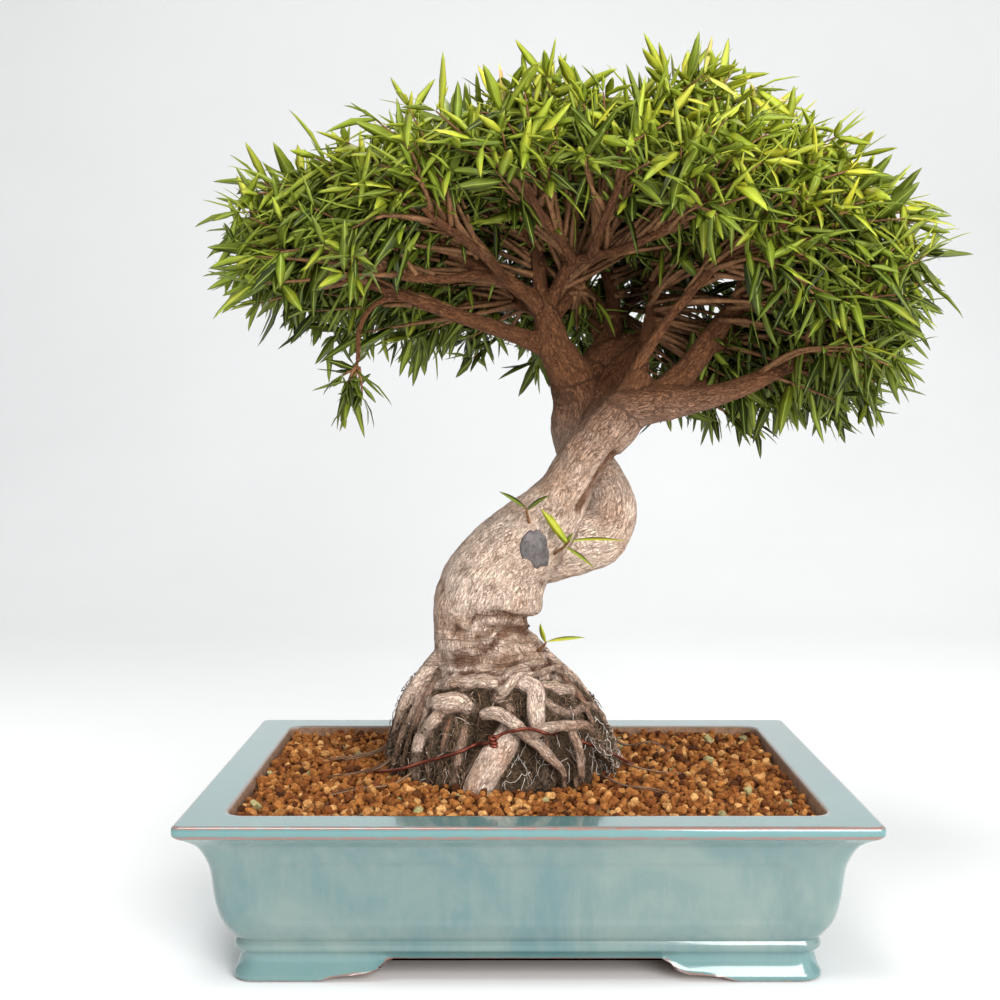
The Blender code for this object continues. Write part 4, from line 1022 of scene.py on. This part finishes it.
# Ridges, knobs and growth rings, and level wrinkles around the collar.
def barkLift(place, grain, radius):
    size = min(radius / barkShape["thick"], 1)
    lift = size * (barkShape["ridge"] * stretchedNoise(grain, 0.28, 0.28, 0.05)
                   + barkShape["knobs"] * noise.noise(place * 0.06)
                   + barkShape["rings"] * stretchedNoise(grain, 0.03, 0.03, 0.45))
    lift += barkShape["fine"] * stretchedNoise(grain, 0.55, 0.55, 0.16)
    collar = smoothStep((place.z - barkShape["collarFoot"]) / 6)
    collar *= smoothStep((barkShape["collarTop"] - place.z) / 8)
    return lift - barkShape["wrinkle"] * collar * size * abs(stretchedNoise(place, 0.05, 0.05, 0.33))


# Thin roots at the sides are dark with earth low down.
def earthStain(place, radius):
    top = barkShape["stainTop"]
    if radius >= barkShape["stainRadius"] or place.z >= top or -52 < place.x < 38:
        return 0.0
    stain = (top - place.z) / barkShape["stainFade"] + 0.6 * noise.noise(place * 0.12)
    return clamped(stain, 0, barkShape["stainMost"])


def carveBark(bm, routes):
    samples = grainSamples(routes)
    bm.normal_update()
    points = np.array([vert.co for vert in bm.verts])
    normals = np.array([vert.normal for vert in bm.verts])
    chosen = samples[nearestGrain(points, samples)]
    offset = points - chosen[:, :3]
    axis, side, other = chosen[:, 4:7], chosen[:, 7:10], chosen[:, 10:13]
    along = chosen[:, 13] + (offset * axis).sum(1)
    grain = np.stack([(offset * side).sum(1), (offset * other).sum(1), along], 1)
    radius = chosen[:, 3]
    folds, swell = frontRelief(points, normals)
    isEarth = (chosen[:, 14] > 0.5) & (points[:, 2] < barkShape["rootZone"])
    grainLayer = bm.verts.layers.float_vector.new("grain")
    ageLayer = bm.verts.layers.float.new("age")
    earthLayer = bm.verts.layers.float.new("earth")
    foldLayer = bm.verts.layers.float.new("fold")
    for index, vert in enumerate(bm.verts):
        own = Vector(grain[index])
        lift = barkLift(vert.co, own, radius[index])
        vert[earthLayer] = earthStain(vert.co, radius[index])
        earthTop = barkShape["earthTop"] + barkShape["earthUneven"] * noise.noise(vert.co * 0.1)
        if isEarth[index] and vert.co.z < earthTop:
            vert[earthLayer] = 1.0
            lift = 1.6 * noise.noise(vert.co * 0.22) + 1.0 * noise.noise(vert.co * 0.5)
        if vert.co.z > woodShape["cutHeight"]:
            vert.co += vert.normal * (lift - folds[index] - swell[index])
        vert[grainLayer] = own * mm
        vert[foldLayer] = clamped(max(folds[index] / 3, swell[index] / 5))
        age = (barkShape["ageMiddle"] - vert.co.z) / barkShape["ageFade"] + barkShape["ageShare"]
        vert[ageLayer] = smoothStep(age) * smoothStep(radius[index] / barkShape["youngRadius"])
    bm.normal_update()
    # painted shade: how deep each point lies in a hollow or fold, which darkens the bark there
    cavityShadeLayer = bm.verts.layers.float.new("cavityShade")
    for vert in bm.verts:
        ring = [edge.other_vert(vert).co for edge in vert.link_edges]
        dent = (sum(ring, Vector()) / len(ring) - vert.co).dot(vert.normal)
        vert[cavityShadeLayer] = clamped(dent * 2.4 + vert[foldLayer] * 0.85)
    softenLayer(bm, cavityShadeLayer, 2)
    softenLayer(bm, earthLayer, 1)


def softenLayer(bm, layer, rounds):
    for _ in range(rounds):
        fresh = []
        for vert in bm.verts:
            ring = [edge.other_vert(vert)[layer] for edge in vert.link_edges]
            fresh.append(0.5 * vert[layer] + 0.5 * sum(ring) / len(ring))
        for vert, value in zip(bm.verts, fresh):
            vert[layer] = value


# Leaves

leafShape = dict(length=26, width=5.5, thick=0.45, fold=0.2, rings=4, bends=(-0.1, 0.06, 0.2, 0.36),
                 fineRings=14, fineBend=0.10)
sprayShape = dict(
    leafGap=3.2, leafSteps=9, leafAngle=62, endAngle=38, angleVaries=20, endLeaves=3, droop=0.16,
    twigRadius=1.15,
    twig=dict(back=42, shortest=30, sway=1, leaf=1), tuft=dict(back=5, shortest=11, sway=0.2, leaf=0.82),
)
# The crown is a hollow dome: twig tips fill its outer part, wherever a spray is near enough.
crownShape = dict(middle=(34, 10, 385), half=(211, 138, 152), below=92, square=2.4, uneven=0.16, hollow=0.42,
                  spacing=15.0, reach=1.42, tries=120000, tuftHalf=20, tuftTwigs=6, spare=8)
crownMiddle = Vector((40, 15, 402))  # twigs point away from it
crownLow, crownHigh = toPot @ cadLow, toPot @ cadHigh
# Highest twig tips along the crown from left to right: across and height.
upperside = ((-190, 452), (-143, 464), (-111, 470), (-80, 484), (-35, 500), (10, 520), (60, 510), (88, 516),
             (111, 530), (130, 520), (168, 492), (206, 464), (238, 440))
# Lowest twig tips: across, height in front and height behind.
underside = ((-175, 402, 402), (-110, 412, 396), (-75, 444, 392), (-50, 466, 388), (10, 476, 378),
             (60, 468, 364), (100, 452, 350), (150, 414, 332), (190, 354, 324), (230, 326, 322))


def signOf(value):
    return (value > 0.01) - (value < -0.01)


# A willow leaf along +Z in millimetres: widest near its middle, pointed, and folded along its rib.
def leafTemplate(bend, rings):
    length = leafShape["length"]
    bm = bmesh.new()
    bm.verts.layers.float.new("tone")
    uvLayer = bm.loops.layers.uv.new("blade")
    bmesh.ops.create_uvsphere(bm, u_segments=4, v_segments=rings, radius=1)
    below = {face for face in bm.faces if face.calc_center_median().y < 0}
    for vert in bm.verts:
        t = (vert.co.z + 1) / 2
        wide = max(math.sin(math.pi * t ** 0.88), 0) ** 0.85 * leafShape["width"] / 2
        across = signOf(vert.co.x)
        fold = leafShape["fold"] * wide * abs(across)
        lift = signOf(vert.co.y) * leafShape["thick"] / 2 + fold - bend * length * t * t
        vert.co = Vector((across * wide, lift, t * length))
    for face in bm.faces:
        for loop in face.loops:
            place = loop.vert.co
            loop[uvLayer].uv = (0.5 + 0.5 * signOf(place.x), place.z / length + 2 * (face in below))
    return newMesh("template", bm)


leafTemplates = [leafTemplate(bend, leafShape["rings"]) for bend in leafShape["bends"]]
fineLeaf = leafTemplate(leafShape["fineBend"], leafShape["fineRings"])


# Turns a leaf's own length to a direction and its upper face towards a second one.
def leafMatrix(root, direction, upward, length, width):
    along = direction.normalized()
    across = upward.cross(along)
    if across.length < 0.05:
        across = Vector((1, 0, 0)).cross(along)
    across.normalize()
    up = along.cross(across)
    scale = length / leafShape["length"]
    turn = Matrix((across * width / leafShape["width"], up * scale, along * scale)).transposed().to_4x4()
    return Matrix.Translation(root) @ turn


# Middle and half size of each spray's node.
def sprayBoxes():
    count = sum(name.startswith("leaf_spray_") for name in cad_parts)
    corners = [potBox(f"leaf_spray_{number:02d}") for number in range(1, count + 1)]
    return [((low + high) / 2, (high - low) / 2) for low, high in corners]


def shrunkBy(vector, sizes):
    return Vector([part / size for part, size in zip(vector, sizes)])


def highestTip(tip):
    return np.interp(tip.x, *zip(*upperside)) + 12 * noise.noise(tip * 0.03)


# The underside is higher in front than behind, and clumps of twigs hang lower.
def lowestTip(tip):
    across, front, behind = np.array(underside, float).T
    frontShare = smoothStep((45 - tip.y) / 110)
    height = float(np.interp(tip.x, across, behind + (front - behind) * frontShare))
    return height - 26 * smoothStep((noise.noise(Vector((tip.x, tip.y, 0)) * 0.045) - 0.2) / 0.2)


cellSteps = list(itertools.product((-1, 0, 1), repeat=3))


# Twig tips spread evenly through the crown, listed for the spray that each is nearest to.
def crownTips(boxes, rng):
    middle, half = Vector(crownShape["middle"]), crownShape["half"]
    tips = [[] for _ in boxes]
    cell = crownShape["spacing"]
    taken = {}
    for _ in range(crownShape["tries"]):
        ray = Vector([rng.uniform(-1, 1) for _ in range(3)])
        far = sum(abs(part) ** crownShape["square"] for part in ray) ** (1 / crownShape["square"])
        far += crownShape["uneven"] * noise.noise(ray.normalized() * 2.3)
        if not crownShape["hollow"] < far < 1:
            continue
        tall = half[2] if ray.z > 0 else crownShape["below"]
        tip = middle + Vector((ray.x * half[0], ray.y * half[1], ray.z * tall))
        if not lowestTip(tip) < tip.z < highestTip(tip):
            continue
        away, nearest = min((shrunkBy(tip - spot, size).length, index)
                            for index, (spot, size) in enumerate(boxes))
        if away > crownShape["reach"]:
            continue
        home = tuple(int(part // cell) for part in tip)
        near = [taken.get(tuple(part + step for part, step in zip(home, steps))) for steps in cellSteps]
        if any(other and (other - tip).length < cell for other in near):
            continue
        taken[home] = tip
        tips[nearest].append(tip)
    for index, (spot, size) in enumerate(boxes):
        if size.x < crownShape["tuftHalf"]:
            tips[index] = [spot + Vector([rng.uniform(-0.6, 0.6) * part for part in size])
                           for _ in range(crownShape["tuftTwigs"])]
    print(sum(len(some) for some in tips), "twigs")
    return tips


# One leafy branch end: twigs grow from the wood to their tips, with leaves on both sides.
def makeSpray(number, tips, woodTree):
    node = f"leaf_spray_{number:02d}"
    rng = random.Random(700 + number)
    low, high = potBox(node)
    habit = sprayShape["tuft" if (high - low).x < 2 * crownShape["tuftHalf"] else "twig"]
    thick = sprayShape["twigRadius"]
    twigs = []
    leaves = []
    for tip in tips:
        outward = (tip - crownMiddle).normalized()
        start = woodTree.find_nearest(tip - outward * habit["back"] * rng.uniform(0.7, 1.7))[0]
        away = tip - start
        if away.length < habit["shortest"]:
            tip = start + (away.normalized() + outward).normalized() * habit["shortest"]
        bend = Vector((rng.uniform(-8, 8), rng.uniform(-8, 8), rng.uniform(-2, 8))) * habit["sway"]
        route = [(*start, thick * 1.9), (*(start.lerp(tip, 0.5) + bend), thick), (*tip, thick * 0.4)]
        twigs.append(route)
        leaves += leavesAlong(route, rng, habit["leaf"])
    bm = leafyBmesh(node, twigs, 9, 0)
    for root, direction, upward, length, width, tone in leaves:
        matrix = leafMatrix(root, direction, upward, length, width)
        stamp(bm, rng.choice(leafTemplates), matrix, tone)
    addPiece(f"leafSpray{number:02d}", bm, [leafMaterial, twigMaterial], [node])


# Root, direction, upper side, length, width and tone of each leaf along a twig.
def leavesAlong(route, rng, size):
    points = [point.xyz for point in smoothRoute(route, sprayShape["leafGap"])]
    leaves = []
    turn = rng.uniform(0, 6.28)
    skipped = max(1, len(points) - sprayShape["leafSteps"])
    for index in range(skipped, len(points)):
        last = index == len(points) - 1
        axis = (points[index] - points[index - 1]).normalized()
        side = axis.cross(Vector((0, 0, 1)))
        if side.length < 0.1:
            side = Vector((1, 0, 0))
        side.normalize()
        other = axis.cross(side)
        for _ in range(sprayShape["endLeaves"] if last else 1):
            turn += math.pi + rng.uniform(-0.7, 0.7) + (0.5 if last else 0)
            angle = sprayShape["endAngle" if last else "leafAngle"]
            spreadAngle = math.radians(rng.gauss(angle, sprayShape["angleVaries"]))
            around = side * math.cos(turn) + other * math.sin(turn)
            direction = axis * math.cos(spreadAngle) + around * math.sin(spreadAngle)
            direction.z -= sprayShape["droop"] * rng.uniform(0, 2)
            direction.normalize()
            stretch = clamped(rng.gauss(1.0, 0.26), 0.42, 1.5) * (rng.uniform(0.6, 1.0) if last else 1)
            length = leafShape["length"] * size * stretch
            broad = clamped(rng.gauss(0.95, 0.2), 0.55, 1.35)
            width = leafShape["width"] * size * (0.4 + 0.6 * stretch) * broad
            tip = points[index] + direction * length
            if not insideCrown(tip):
                continue
            upward = Vector((0, 0, 1)) + around * 0.4 + randomVector(rng, 0.55)
            young = (index - skipped) / max(len(points) - 1 - skipped, 1)
            leaves.append((points[index], direction, upward, length, width, leafToneAndLight(tip, young, rng)))
    return leaves


def insideCrown(point):
    spare = crownShape["spare"]
    return (crownLow.x - spare < point.x < crownHigh.x + spare and point.z < crownHigh.z + spare
            and crownLow.y - spare < point.y < crownHigh.y + spare)


# painted light and shade: high and right lighten leaves at the top and on the right of the crown, and least
# sets the dark inner leaves
toneShape = dict(least=0.04, high=0.30, right=0.30, young=0.28, steps=(-0.32, 0.0, 0.05, 0.11), varies=0.12)


# Leaves are lime towards the twig tips, where growth is fresh; painted light makes them lighter at the top,
# on the right and on the outside of the crown, and painted shade keeps inner leaves dark.
def leafToneAndLight(tip, young, rng):
    height = smoothStep((tip.z - 350) / 190)
    rightward = smoothStep((tip.x + 40) / 260)
    outer = smoothStep((shrunkBy(tip - crownMiddle, (230, 160, 150)).length - 0.45) / 0.6)
    tone = toneShape["least"] + toneShape["high"] * height * (0.3 + 0.7 * outer)
    tone += toneShape["right"] * rightward ** 2 * outer * height
    tone += toneShape["young"] * young * outer * (0.4 + 0.6 * height)
    tone += rng.choice(toneShape["steps"]) + rng.gauss(0, toneShape["varies"])
    return clamped(tone)


# Young shoots, wound seal and wire on the bark

sproutShape = (
    dict(foot=(2, 252), lean=(-0.15, -0.55, 0.8), height=11, tone=0.22,
         leaves=(((-13, 10), 20), ((10, 8), 18))),
    dict(foot=(18, 232), lean=(0.45, -0.75, 0.6), height=17, tone=0.62,
         leaves=(((26, 3), 33), ((-16, 20), 27), ((-9, 15), 22), ((20, -12), 22), ((6, 12), 12))),
    dict(foot=(8, 169), lean=(0.35, -0.5, 0.75), height=9, tone=0.72, leaves=(((22, 5), 25), ((-5, 14), 14))),
)


def makeSprout(number, shape, barkTree):
    root, normal = barkFront(barkTree, *shape["foot"])
    rise = Vector(shape["lean"]).normalized() * shape["height"]
    top = root + normal * 2 + rise
    stem = [(*(root - normal), 1.1), (*(root + normal * 1.5 + rise * 0.5), 0.9), (*top, 0.6)]
    bm = leafyBmesh("stem", [stem], 3, 2)
    for count, ((across, up), length) in enumerate(shape["leaves"]):
        foot = top - rise * 0.12 * count
        direction = Vector((across, -5, up))
        upward = Vector((-up * 0.5, -6, abs(across) * 0.5 + 4))
        matrix = leafMatrix(foot, direction, upward, length, leafShape["width"] * 0.95)
        stamp(bm, fineLeaf, matrix, shape["tone"] - 0.06 * count)
    node = f"trunk_sprout_{number}"
    addPiece(f"trunkSprout{number}", bm, [leafMaterial, twigMaterial], [node])


# The notch is cut from the lower left of the patch, whose right side is straight.
sealShape = dict(place=(6, 236), facing=(-0.1, -0.95, 0.25), halfWidths=(10.2, 11.3), thick=1.3, skin=1.2,
                 straight=0.72, notch=(-0.62, -0.8), notchRadius=0.42)


# Paste over an old cut: a thin lumpy skin pressed on the bark, with a ragged edge.
def makeSeal(barkTree):
    middle, _ = barkFront(barkTree, *sealShape["place"])
    normal = Vector(sealShape["facing"]).normalized()
    turn = Vector((0, 0, 1)).rotation_difference(normal)
    bm = bmesh.new()
    bmesh.ops.create_grid(bm, x_segments=26, y_segments=26, size=1)
    for vert in bm.verts:
        square = vert.co.copy()
        vert.co.x = square.x * math.sqrt(1 - square.y ** 2 / 2)
        vert.co.y = square.y * math.sqrt(1 - square.x ** 2 / 2)
        edge = vert.co.length
        vert.co.x = min(vert.co.x, sealShape["straight"] + 0.05 * vert.co.y)
        notch = vert.co.xy - Vector(sealShape["notch"])
        if notch.length < sealShape["notchRadius"]:
            vert.co.xy += notch.normalized() * (sealShape["notchRadius"] - notch.length) * 0.8
        ragged = 1 + 0.16 * noise.noise(vert.co.normalized() * 2.2 + Vector((4, 1, 0))) * edge
        wide, tall = sealShape["halfWidths"]
        flat = Vector((vert.co.x * wide, vert.co.y * tall, 0)) * ragged
        spot = barkTree.ray_cast(middle + normal * 14 + turn @ flat, -normal)[0]
        if spot is None:
            spot = middle + turn @ flat
        wrinkle = abs(noise.noise(Vector((flat.x * 0.5 + flat.y * 0.25, flat.y * 0.12 - flat.x * 0.1, 3))))
        lump = 0.3 * noise.noise(flat * 0.35) + 1.6 * min(wrinkle, 0.3) - 0.3
        rise = sealShape["thick"] * (1 - smoothStep((edge - 0.86) / 0.14)) + lump
        vert.co = spot + normal * (rise - 0.3)
    shell = bmesh.ops.extrude_face_region(bm, geom=bm.faces[:])["geom"]
    bmesh.ops.translate(bm, vec=-normal * sealShape["skin"], verts=vertsOf(shell))
    bmesh.ops.recalc_face_normals(bm, faces=bm.faces)
    addPiece("woundSeal", bm, [mineralMaterials["cutPaste"]], ["wound_seal"])


wireShape = dict(
    radius=1.05, clearance=0.3, smoothings=4, coil=(-21, 122.5), coilTurns=3.2, coilPitch=3.4, coilSteps=40,
    hiddenFrom=12, highest=150,
    before=((-108, 4, 91), (-98, -10, 93), (-86, -26, 97), (-74, -36, 101)),
    across=((-62, 105), (-50, 109), (-38, 113.5), (-28, 117), (-21, 121), (-14, 125.5), (-5, 128.5),
            (4, 129.5), (12, 127)),
    after=((22, -36, 122), (34, -36, 118), (44, -32, 113), (54, -22, 107), (62, -12, 101), (69, -2, 95),
           (73, 6, 90)),
)


def makeWire(barkTree):
    across = [barkFront(barkTree, x, z)[0] for x, z in wireShape["across"]]
    points = smoothRoute([*wireShape["before"], *across, *wireShape["after"]], 3)
    for _ in range(wireShape["smoothings"]):
        points = [beforeBark(barkTree, point) for point in points]
        inner = zip(points, points[1:], points[2:])
        points[1:-1] = [0.25 * before + 0.5 * here + 0.25 * after for before, here, after in inner]
    points = [beforeBark(barkTree, point) for point in points]
    radius = wireShape["radius"]
    twist = min(points, key=lambda point: (point.xz - Vector(wireShape["coil"])).length)
    centre = twist + Vector((0, -0.4, 1.5))
    down = Vector((0.25, 0.1, -1)).normalized()
    coil = []
    for step in range(wireShape["coilSteps"]):
        share = step / (wireShape["coilSteps"] - 1)
        turn = share * wireShape["coilTurns"] * 2 * math.pi
        drop = down * (share * wireShape["coilPitch"] * radius * 2 - 1)
        around = Vector((math.cos(turn), math.sin(turn) - 0.3, 0)) * radius * 1.7
        coil.append((*(centre + drop + around), radius))
    bm = bmesh.new()
    bm.from_mesh(tubeMesh("wire", [[(*point, radius) for point in points], coil], 3, 3))
    addPiece("anchorWire", bm, [mineralMaterials["tarnishedCopper"]], ["anchor_wire"])


# The point moved towards the viewer until the bark around it lies clear behind.
def beforeBark(barkTree, point):
    if point.x > wireShape["hiddenFrom"]:
        return point
    fronts = []
    for across, up in ((0, 0), (1.5, 0), (-1.5, 0), (0, 1.5), (0, -1.5)):
        place, _ = barkFront(barkTree, point.x + across, point.z + up)
        if place and place.z < wireShape["highest"]:
            fronts.append(place.y - wireShape["radius"] - wireShape["clearance"])
    return Vector((point.x, min([point.y] + fronts), point.z))


# Root hairs and dark crumbs in the earth between the roots

hairShape = dict(count=850, radius=0.2, step=3.0, lowest=90, strands=3)
crumbShape = dict(count=1500, sizes=(0.5, 1.5))


# Rootlets that lie loose over the grit, in millimetres: x, y, z and radius.
looseRoots = (
    ((-82, -8, 104, 0.9), (-92, -14, 97, 0.8), (-104, -18, 94.5, 0.7), (-118, -26, 94, 0.4)),
    ((-80, 10, 112, 0.8), (-94, 16, 101, 0.7), (-108, 20, 96, 0.6), (-122, 18, 94, 0.35)),
    ((-70, -34, 98, 0.9), (-80, -46, 93.5, 0.8), (-96, -52, 93, 0.6), (-110, -64, 92.5, 0.35)),
    ((58, -6, 100, 0.8), (70, -10, 96, 0.7), (84, -16, 94.5, 0.6), (96, -14, 93.5, 0.35)),
    ((52, 26, 112, 0.7), (68, 34, 101, 0.6), (84, 36, 103, 0.5), (96, 30, 98, 0.3)),
    ((48, -36, 96, 0.8), (60, -48, 93.5, 0.6), (76, -54, 93, 0.5), (88, -66, 92.5, 0.3)),
)


# Routes and tones of hairs that creep down over the earth, and of the loose rootlets.
def hairRoutes(spots, barkTree, rng):
    routes = []
    tones = []
    for _ in range(hairShape["count"]):
        point, normal = rng.choice(spots)
        heading = Vector((rng.gauss(0, 0.5), rng.gauss(0, 0.4), rng.uniform(-1.6, 0.0))).normalized()
        radius = hairShape["radius"] * rng.uniform(0.6, 1.9)
        route = []
        for step in range(rng.randint(3, 9)):
            route.append((*(point + normal * rng.uniform(0.2, 2.2)), radius * (1 - 0.08 * step)))
            heading = (heading + randomVector(rng, 0.4) + Vector((0, 0, -0.2))).normalized()
            point, normal, _, _ = barkTree.find_nearest(point + heading * hairShape["step"])
            if point.z < hairShape["lowest"]:
                break
        if len(route) > 2:
            routes.append(route)
            low = point.z < 118 and point.x > -20
            tones.append(rng.choice((0.4, 0.7, 0.9, 1.0) if low else (0.1, 0.3, 0.4, 0.5, 0.75)))
    for route in looseRoots:
        for _ in range(hairShape["strands"]):
            sway = Vector((rng.gauss(0, 2.5), rng.gauss(0, 2.5), 0))
            routes.append([(*(Vector(knot[:3]) + sway * index * 0.6), knot[3] * rng.uniform(0.5, 1))
                           for index, knot in enumerate(route)])
            tones.append(rng.choice((0.1, 0.4, 0.5)))
    return routes, tones


def makeRootHairs(trunk, barkTree):
    rng = random.Random(51)
    bm = potBmesh(trunk)
    earthLayer = bm.verts.layers.float["earth"]
    spots = [(vert.co.copy(), vert.normal.copy()) for vert in bm.verts
             if vert[earthLayer] > 0.5 and 92 < vert.co.z < 158]
    bm.free()
    routes, tones = hairRoutes(spots, barkTree, rng)
    bm = bmesh.new()
    bm.verts.layers.float.new("tone")
    for shade in sorted(set(tones)):
        start = len(bm.verts)
        bm.from_mesh(tubeMesh("hair", [route for route, tone in zip(routes, tones) if tone == shade], 3, 0))
        toneLayer = bm.verts.layers.float["tone"]
        bm.verts.ensure_lookup_table()
        for vert in bm.verts[start:]:
            vert[toneLayer] = shade
    addPiece("rootHairs", bm, [mineralMaterials["rootHair"]])
    bm = bmesh.new()
    crumbs = lumpTemplates(3, rng)
    for _ in range(crumbShape["count"]):
        point, normal = rng.choice(spots)
        size = rng.uniform(*crumbShape["sizes"])
        matrix = tumbled(rng, point + normal * 0.4, size)
        stamp(bm, rng.choice(crumbs), matrix, rng.random())
    addPiece("rootEarth", bm, [mineralMaterials["darkCrumb"]], smooth=False)


# Soil

gritShape = dict(smallest=2.0, largest=4.2, sharp=38, inset=27.5, cell=8, bed=88, kinds=7, oddShare=0.016)
# How many grains each layer has, how high it lies and how close its grains may come.
gritLayers = (dict(wanted=1900, lift=0.0, closeness=0.80), dict(wanted=1100, lift=2.2, closeness=0.92))


# Rough lumps of radius 1 to copy grains from.
def lumpTemplates(fineness, rng):
    lumps = []
    for _ in range(gritShape["kinds"]):
        bm = bmesh.new()
        bm.verts.layers.float.new("tone")
        bmesh.ops.create_uvsphere(bm, u_segments=fineness + 2, v_segments=fineness, radius=1)
        shift = Vector([rng.uniform(0, 50) for _ in range(3)])
        squash = Vector((rng.uniform(0.85, 1.25), rng.uniform(0.8, 1.05), rng.uniform(0.7, 1.0)))
        cuts = [(randomVector(rng).normalized(), rng.uniform(0.55, 0.85)) for _ in range(9)]
        for vert in bm.verts:
            for plane, limit in cuts:
                vert.co -= plane * max(vert.co.dot(plane) - limit, 0)
            bulge = 1 + 0.18 * noise.noise(vert.co * 1.7 + shift) + 0.14 * noise.noise(vert.co * 4 + shift)
            vert.co = Vector([part * size for part, size in zip(vert.co * bulge, squash)])
        lumps.append(newMesh("template", bm))
    return lumps


# Height of the soil at a place, or None where the wood covers it.
def soilHeight(soilTree, barkTree, x, y):
    down = Vector((0, 0, -1))
    ground = soilTree.ray_cast(Vector((x, y, 130)), down)[0]
    wood = barkTree.ray_cast(Vector((x, y, 200)), down)[0]
    height = ground.z if ground and ground.z > 80 else gritShape["bed"]
    return None if wood and wood.z > height + 6 else height


def makeGrit(barkTree):
    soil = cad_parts["soil"]
    soilTree = surfaceTree(soil)
    rng = random.Random(8)
    halfX = potShape["length"] / 2 - gritShape["inset"]
    halfY = potShape["depth"] / 2 - gritShape["inset"]
    for number, layer in enumerate(gritLayers, 1):
        bm = bmesh.new()
        lumps = lumpTemplates(5, rng)
        cells = {}
        made = 0
        for _ in range(layer["wanted"] * 30):
            if made == layer["wanted"]:
                break
            size = rng.uniform(gritShape["smallest"], gritShape["largest"])
            x = rng.uniform(-halfX + size * 0.5, halfX - size * 0.5)
            y = rng.uniform(-halfY + size * 0.5, halfY - size * 0.5)
            column, row = int(x // gritShape["cell"]), int(y // gritShape["cell"])
            around = itertools.product((column - 1, column, column + 1), (row - 1, row, row + 1))
            near = [grain for cell in around for grain in cells.get(cell, [])]
            if any(math.hypot(x - nearX, y - nearY) < (size + nearSize) * layer["closeness"]
                   for nearX, nearY, nearSize in near):
                continue
            height = soilHeight(soilTree, barkTree, x, y)
            if height is None:
                continue
            cells.setdefault((column, row), []).append((x, y, size))
            made += 1
            rise = height + layer["lift"] + size * rng.uniform(0.1, 0.5)
            matrix = tumbled(rng, (x, y, rise), size)
            odd = rng.random() < gritShape["oddShare"]
            tone = 0.97 + 0.03 * rng.random() if odd else clamped(rng.gauss(0.50, 0.26), 0, 0.92)
            stamp(bm, rng.choice(lumps), matrix, tone)
        print("grains", made)
        grit = addPiece(f"gritLayer{number}", bm, [mineralMaterials["clayGrit"]])
        grit.data.set_sharp_from_angle(angle=math.radians(gritShape["sharp"]))
    soil.data.materials.clear()
    soil.data.materials.append(mineralMaterials["gritBed"])


# Floor, light and camera

stageLook = dict(grain=1.5, dark=(0.84, 0.84, 0.83), light=(0.90, 0.90, 0.89))


# A floor that bends up into a wall behind.
def makeStage():
    bm = bmesh.new()
    bmesh.ops.create_grid(bm, x_segments=1, y_segments=1, size=6)
    back = [edge for edge in bm.edges if all(vert.co.y > 5 for vert in edge.verts)]
    bmesh.ops.translate(bm, vec=(0, -3.5, 0), verts=[vert for edge in back for vert in edge.verts])
    raised = bmesh.ops.extrude_edge_only(bm, edges=back)["geom"]
    bmesh.ops.translate(bm, vec=(0, 0, 5), verts=vertsOf(raised))
    bend = [edge for edge in bm.edges if all(vert.co.z < 0.1 and vert.co.y > 1 for vert in edge.verts)]
    bmesh.ops.bevel(bm, geom=bend, offset=1.2, segments=16, profile=0.5, affect="EDGES", material=-1)
    bmesh.ops.recalc_face_normals(bm, faces=bm.faces)
    mesh = newMesh("studioFloor", bm)
    mesh.shade_smooth()
    material, tree, shader = newMaterial("paleBackdrop", {"Roughness": 0.9, "Specular IOR Level": 0.1})
    colour, _ = mineral(tree, objectCoords(tree), stageLook)
    tree.links.new(colour, shader.inputs["Base Color"])
    mesh.materials.append(material)
    floor = placed("studioFloor", mesh)


# Each lamp's place, power and size.
lamps = dict(key=((-0.5, -0.7, 2.1), 24, 1.0), front=((0.85, -2.0, 0.9), 50, 1.2),
             fill=((1.6, -1.1, 0.9), 9, 1.8), back=((0.4, 1.1, 1.9), 9, 1.2))
worldLook = dict(colour=(0.93, 0.96, 1.0, 1), strength=0.52)
lampTarget = Vector((0, 0, 0.28))


def makeLights():
    world = bpy.data.worlds.new("studio")
    bpy.context.scene.world = world
    world.use_nodes = True
    bpy.context.scene.view_settings.view_transform = "Standard"
    background = world.node_tree.nodes["Background"].inputs
    background["Color"].default_value = worldLook["colour"]
    background["Strength"].default_value = worldLook["strength"]
    for name, (place, power, size) in lamps.items():
        light = bpy.data.lights.new(name, "AREA")
        light.energy = power
        light.size = size
        lamp = placed(name, light)
        lamp.location = place
        lamp.rotation_euler = (lampTarget - Vector(place)).to_track_quat("-Z", "Y").to_euler()


# The photograph's view, worked out from the pot's rim.
cameraShape = dict(place=(-11, -919, 303), focalPixels=1446, frame=1000, pitch=2.376, shift=-0.008)


def makeCamera():
    data = bpy.data.cameras.new("photoView")
    data.sensor_width = 36
    data.lens = 36 * cameraShape["focalPixels"] / cameraShape["frame"]
    data.shift_x = cameraShape["shift"]
    camera = placed("photoView", data)
    camera.location = toFrame @ Vector(cameraShape["place"])
    camera.rotation_euler = (math.radians(90 - cameraShape["pitch"]), 0, 0)
    bpy.context.scene.camera = camera


makeCamera()
makeLights()
makeStage()
makePot()
makeDrainMeshes()
print("the pot is made")
trunk = makeTrunk()
bark = surfaceTree(trunk)
print("the wood is made")
makeGrit(bark)
makeRootHairs(trunk, bark)
print("the soil is made")
makeSeal(bark)
makeWire(bark)
for sproutNumber, sproutPlan in enumerate(sproutShape, 1):
    makeSprout(sproutNumber, sproutPlan, bark)
for sprayNumber, sprayTips in enumerate(crownTips(sprayBoxes(), random.Random(700)), 1):
    makeSpray(sprayNumber, sprayTips, bark)
print("the leaves are made")
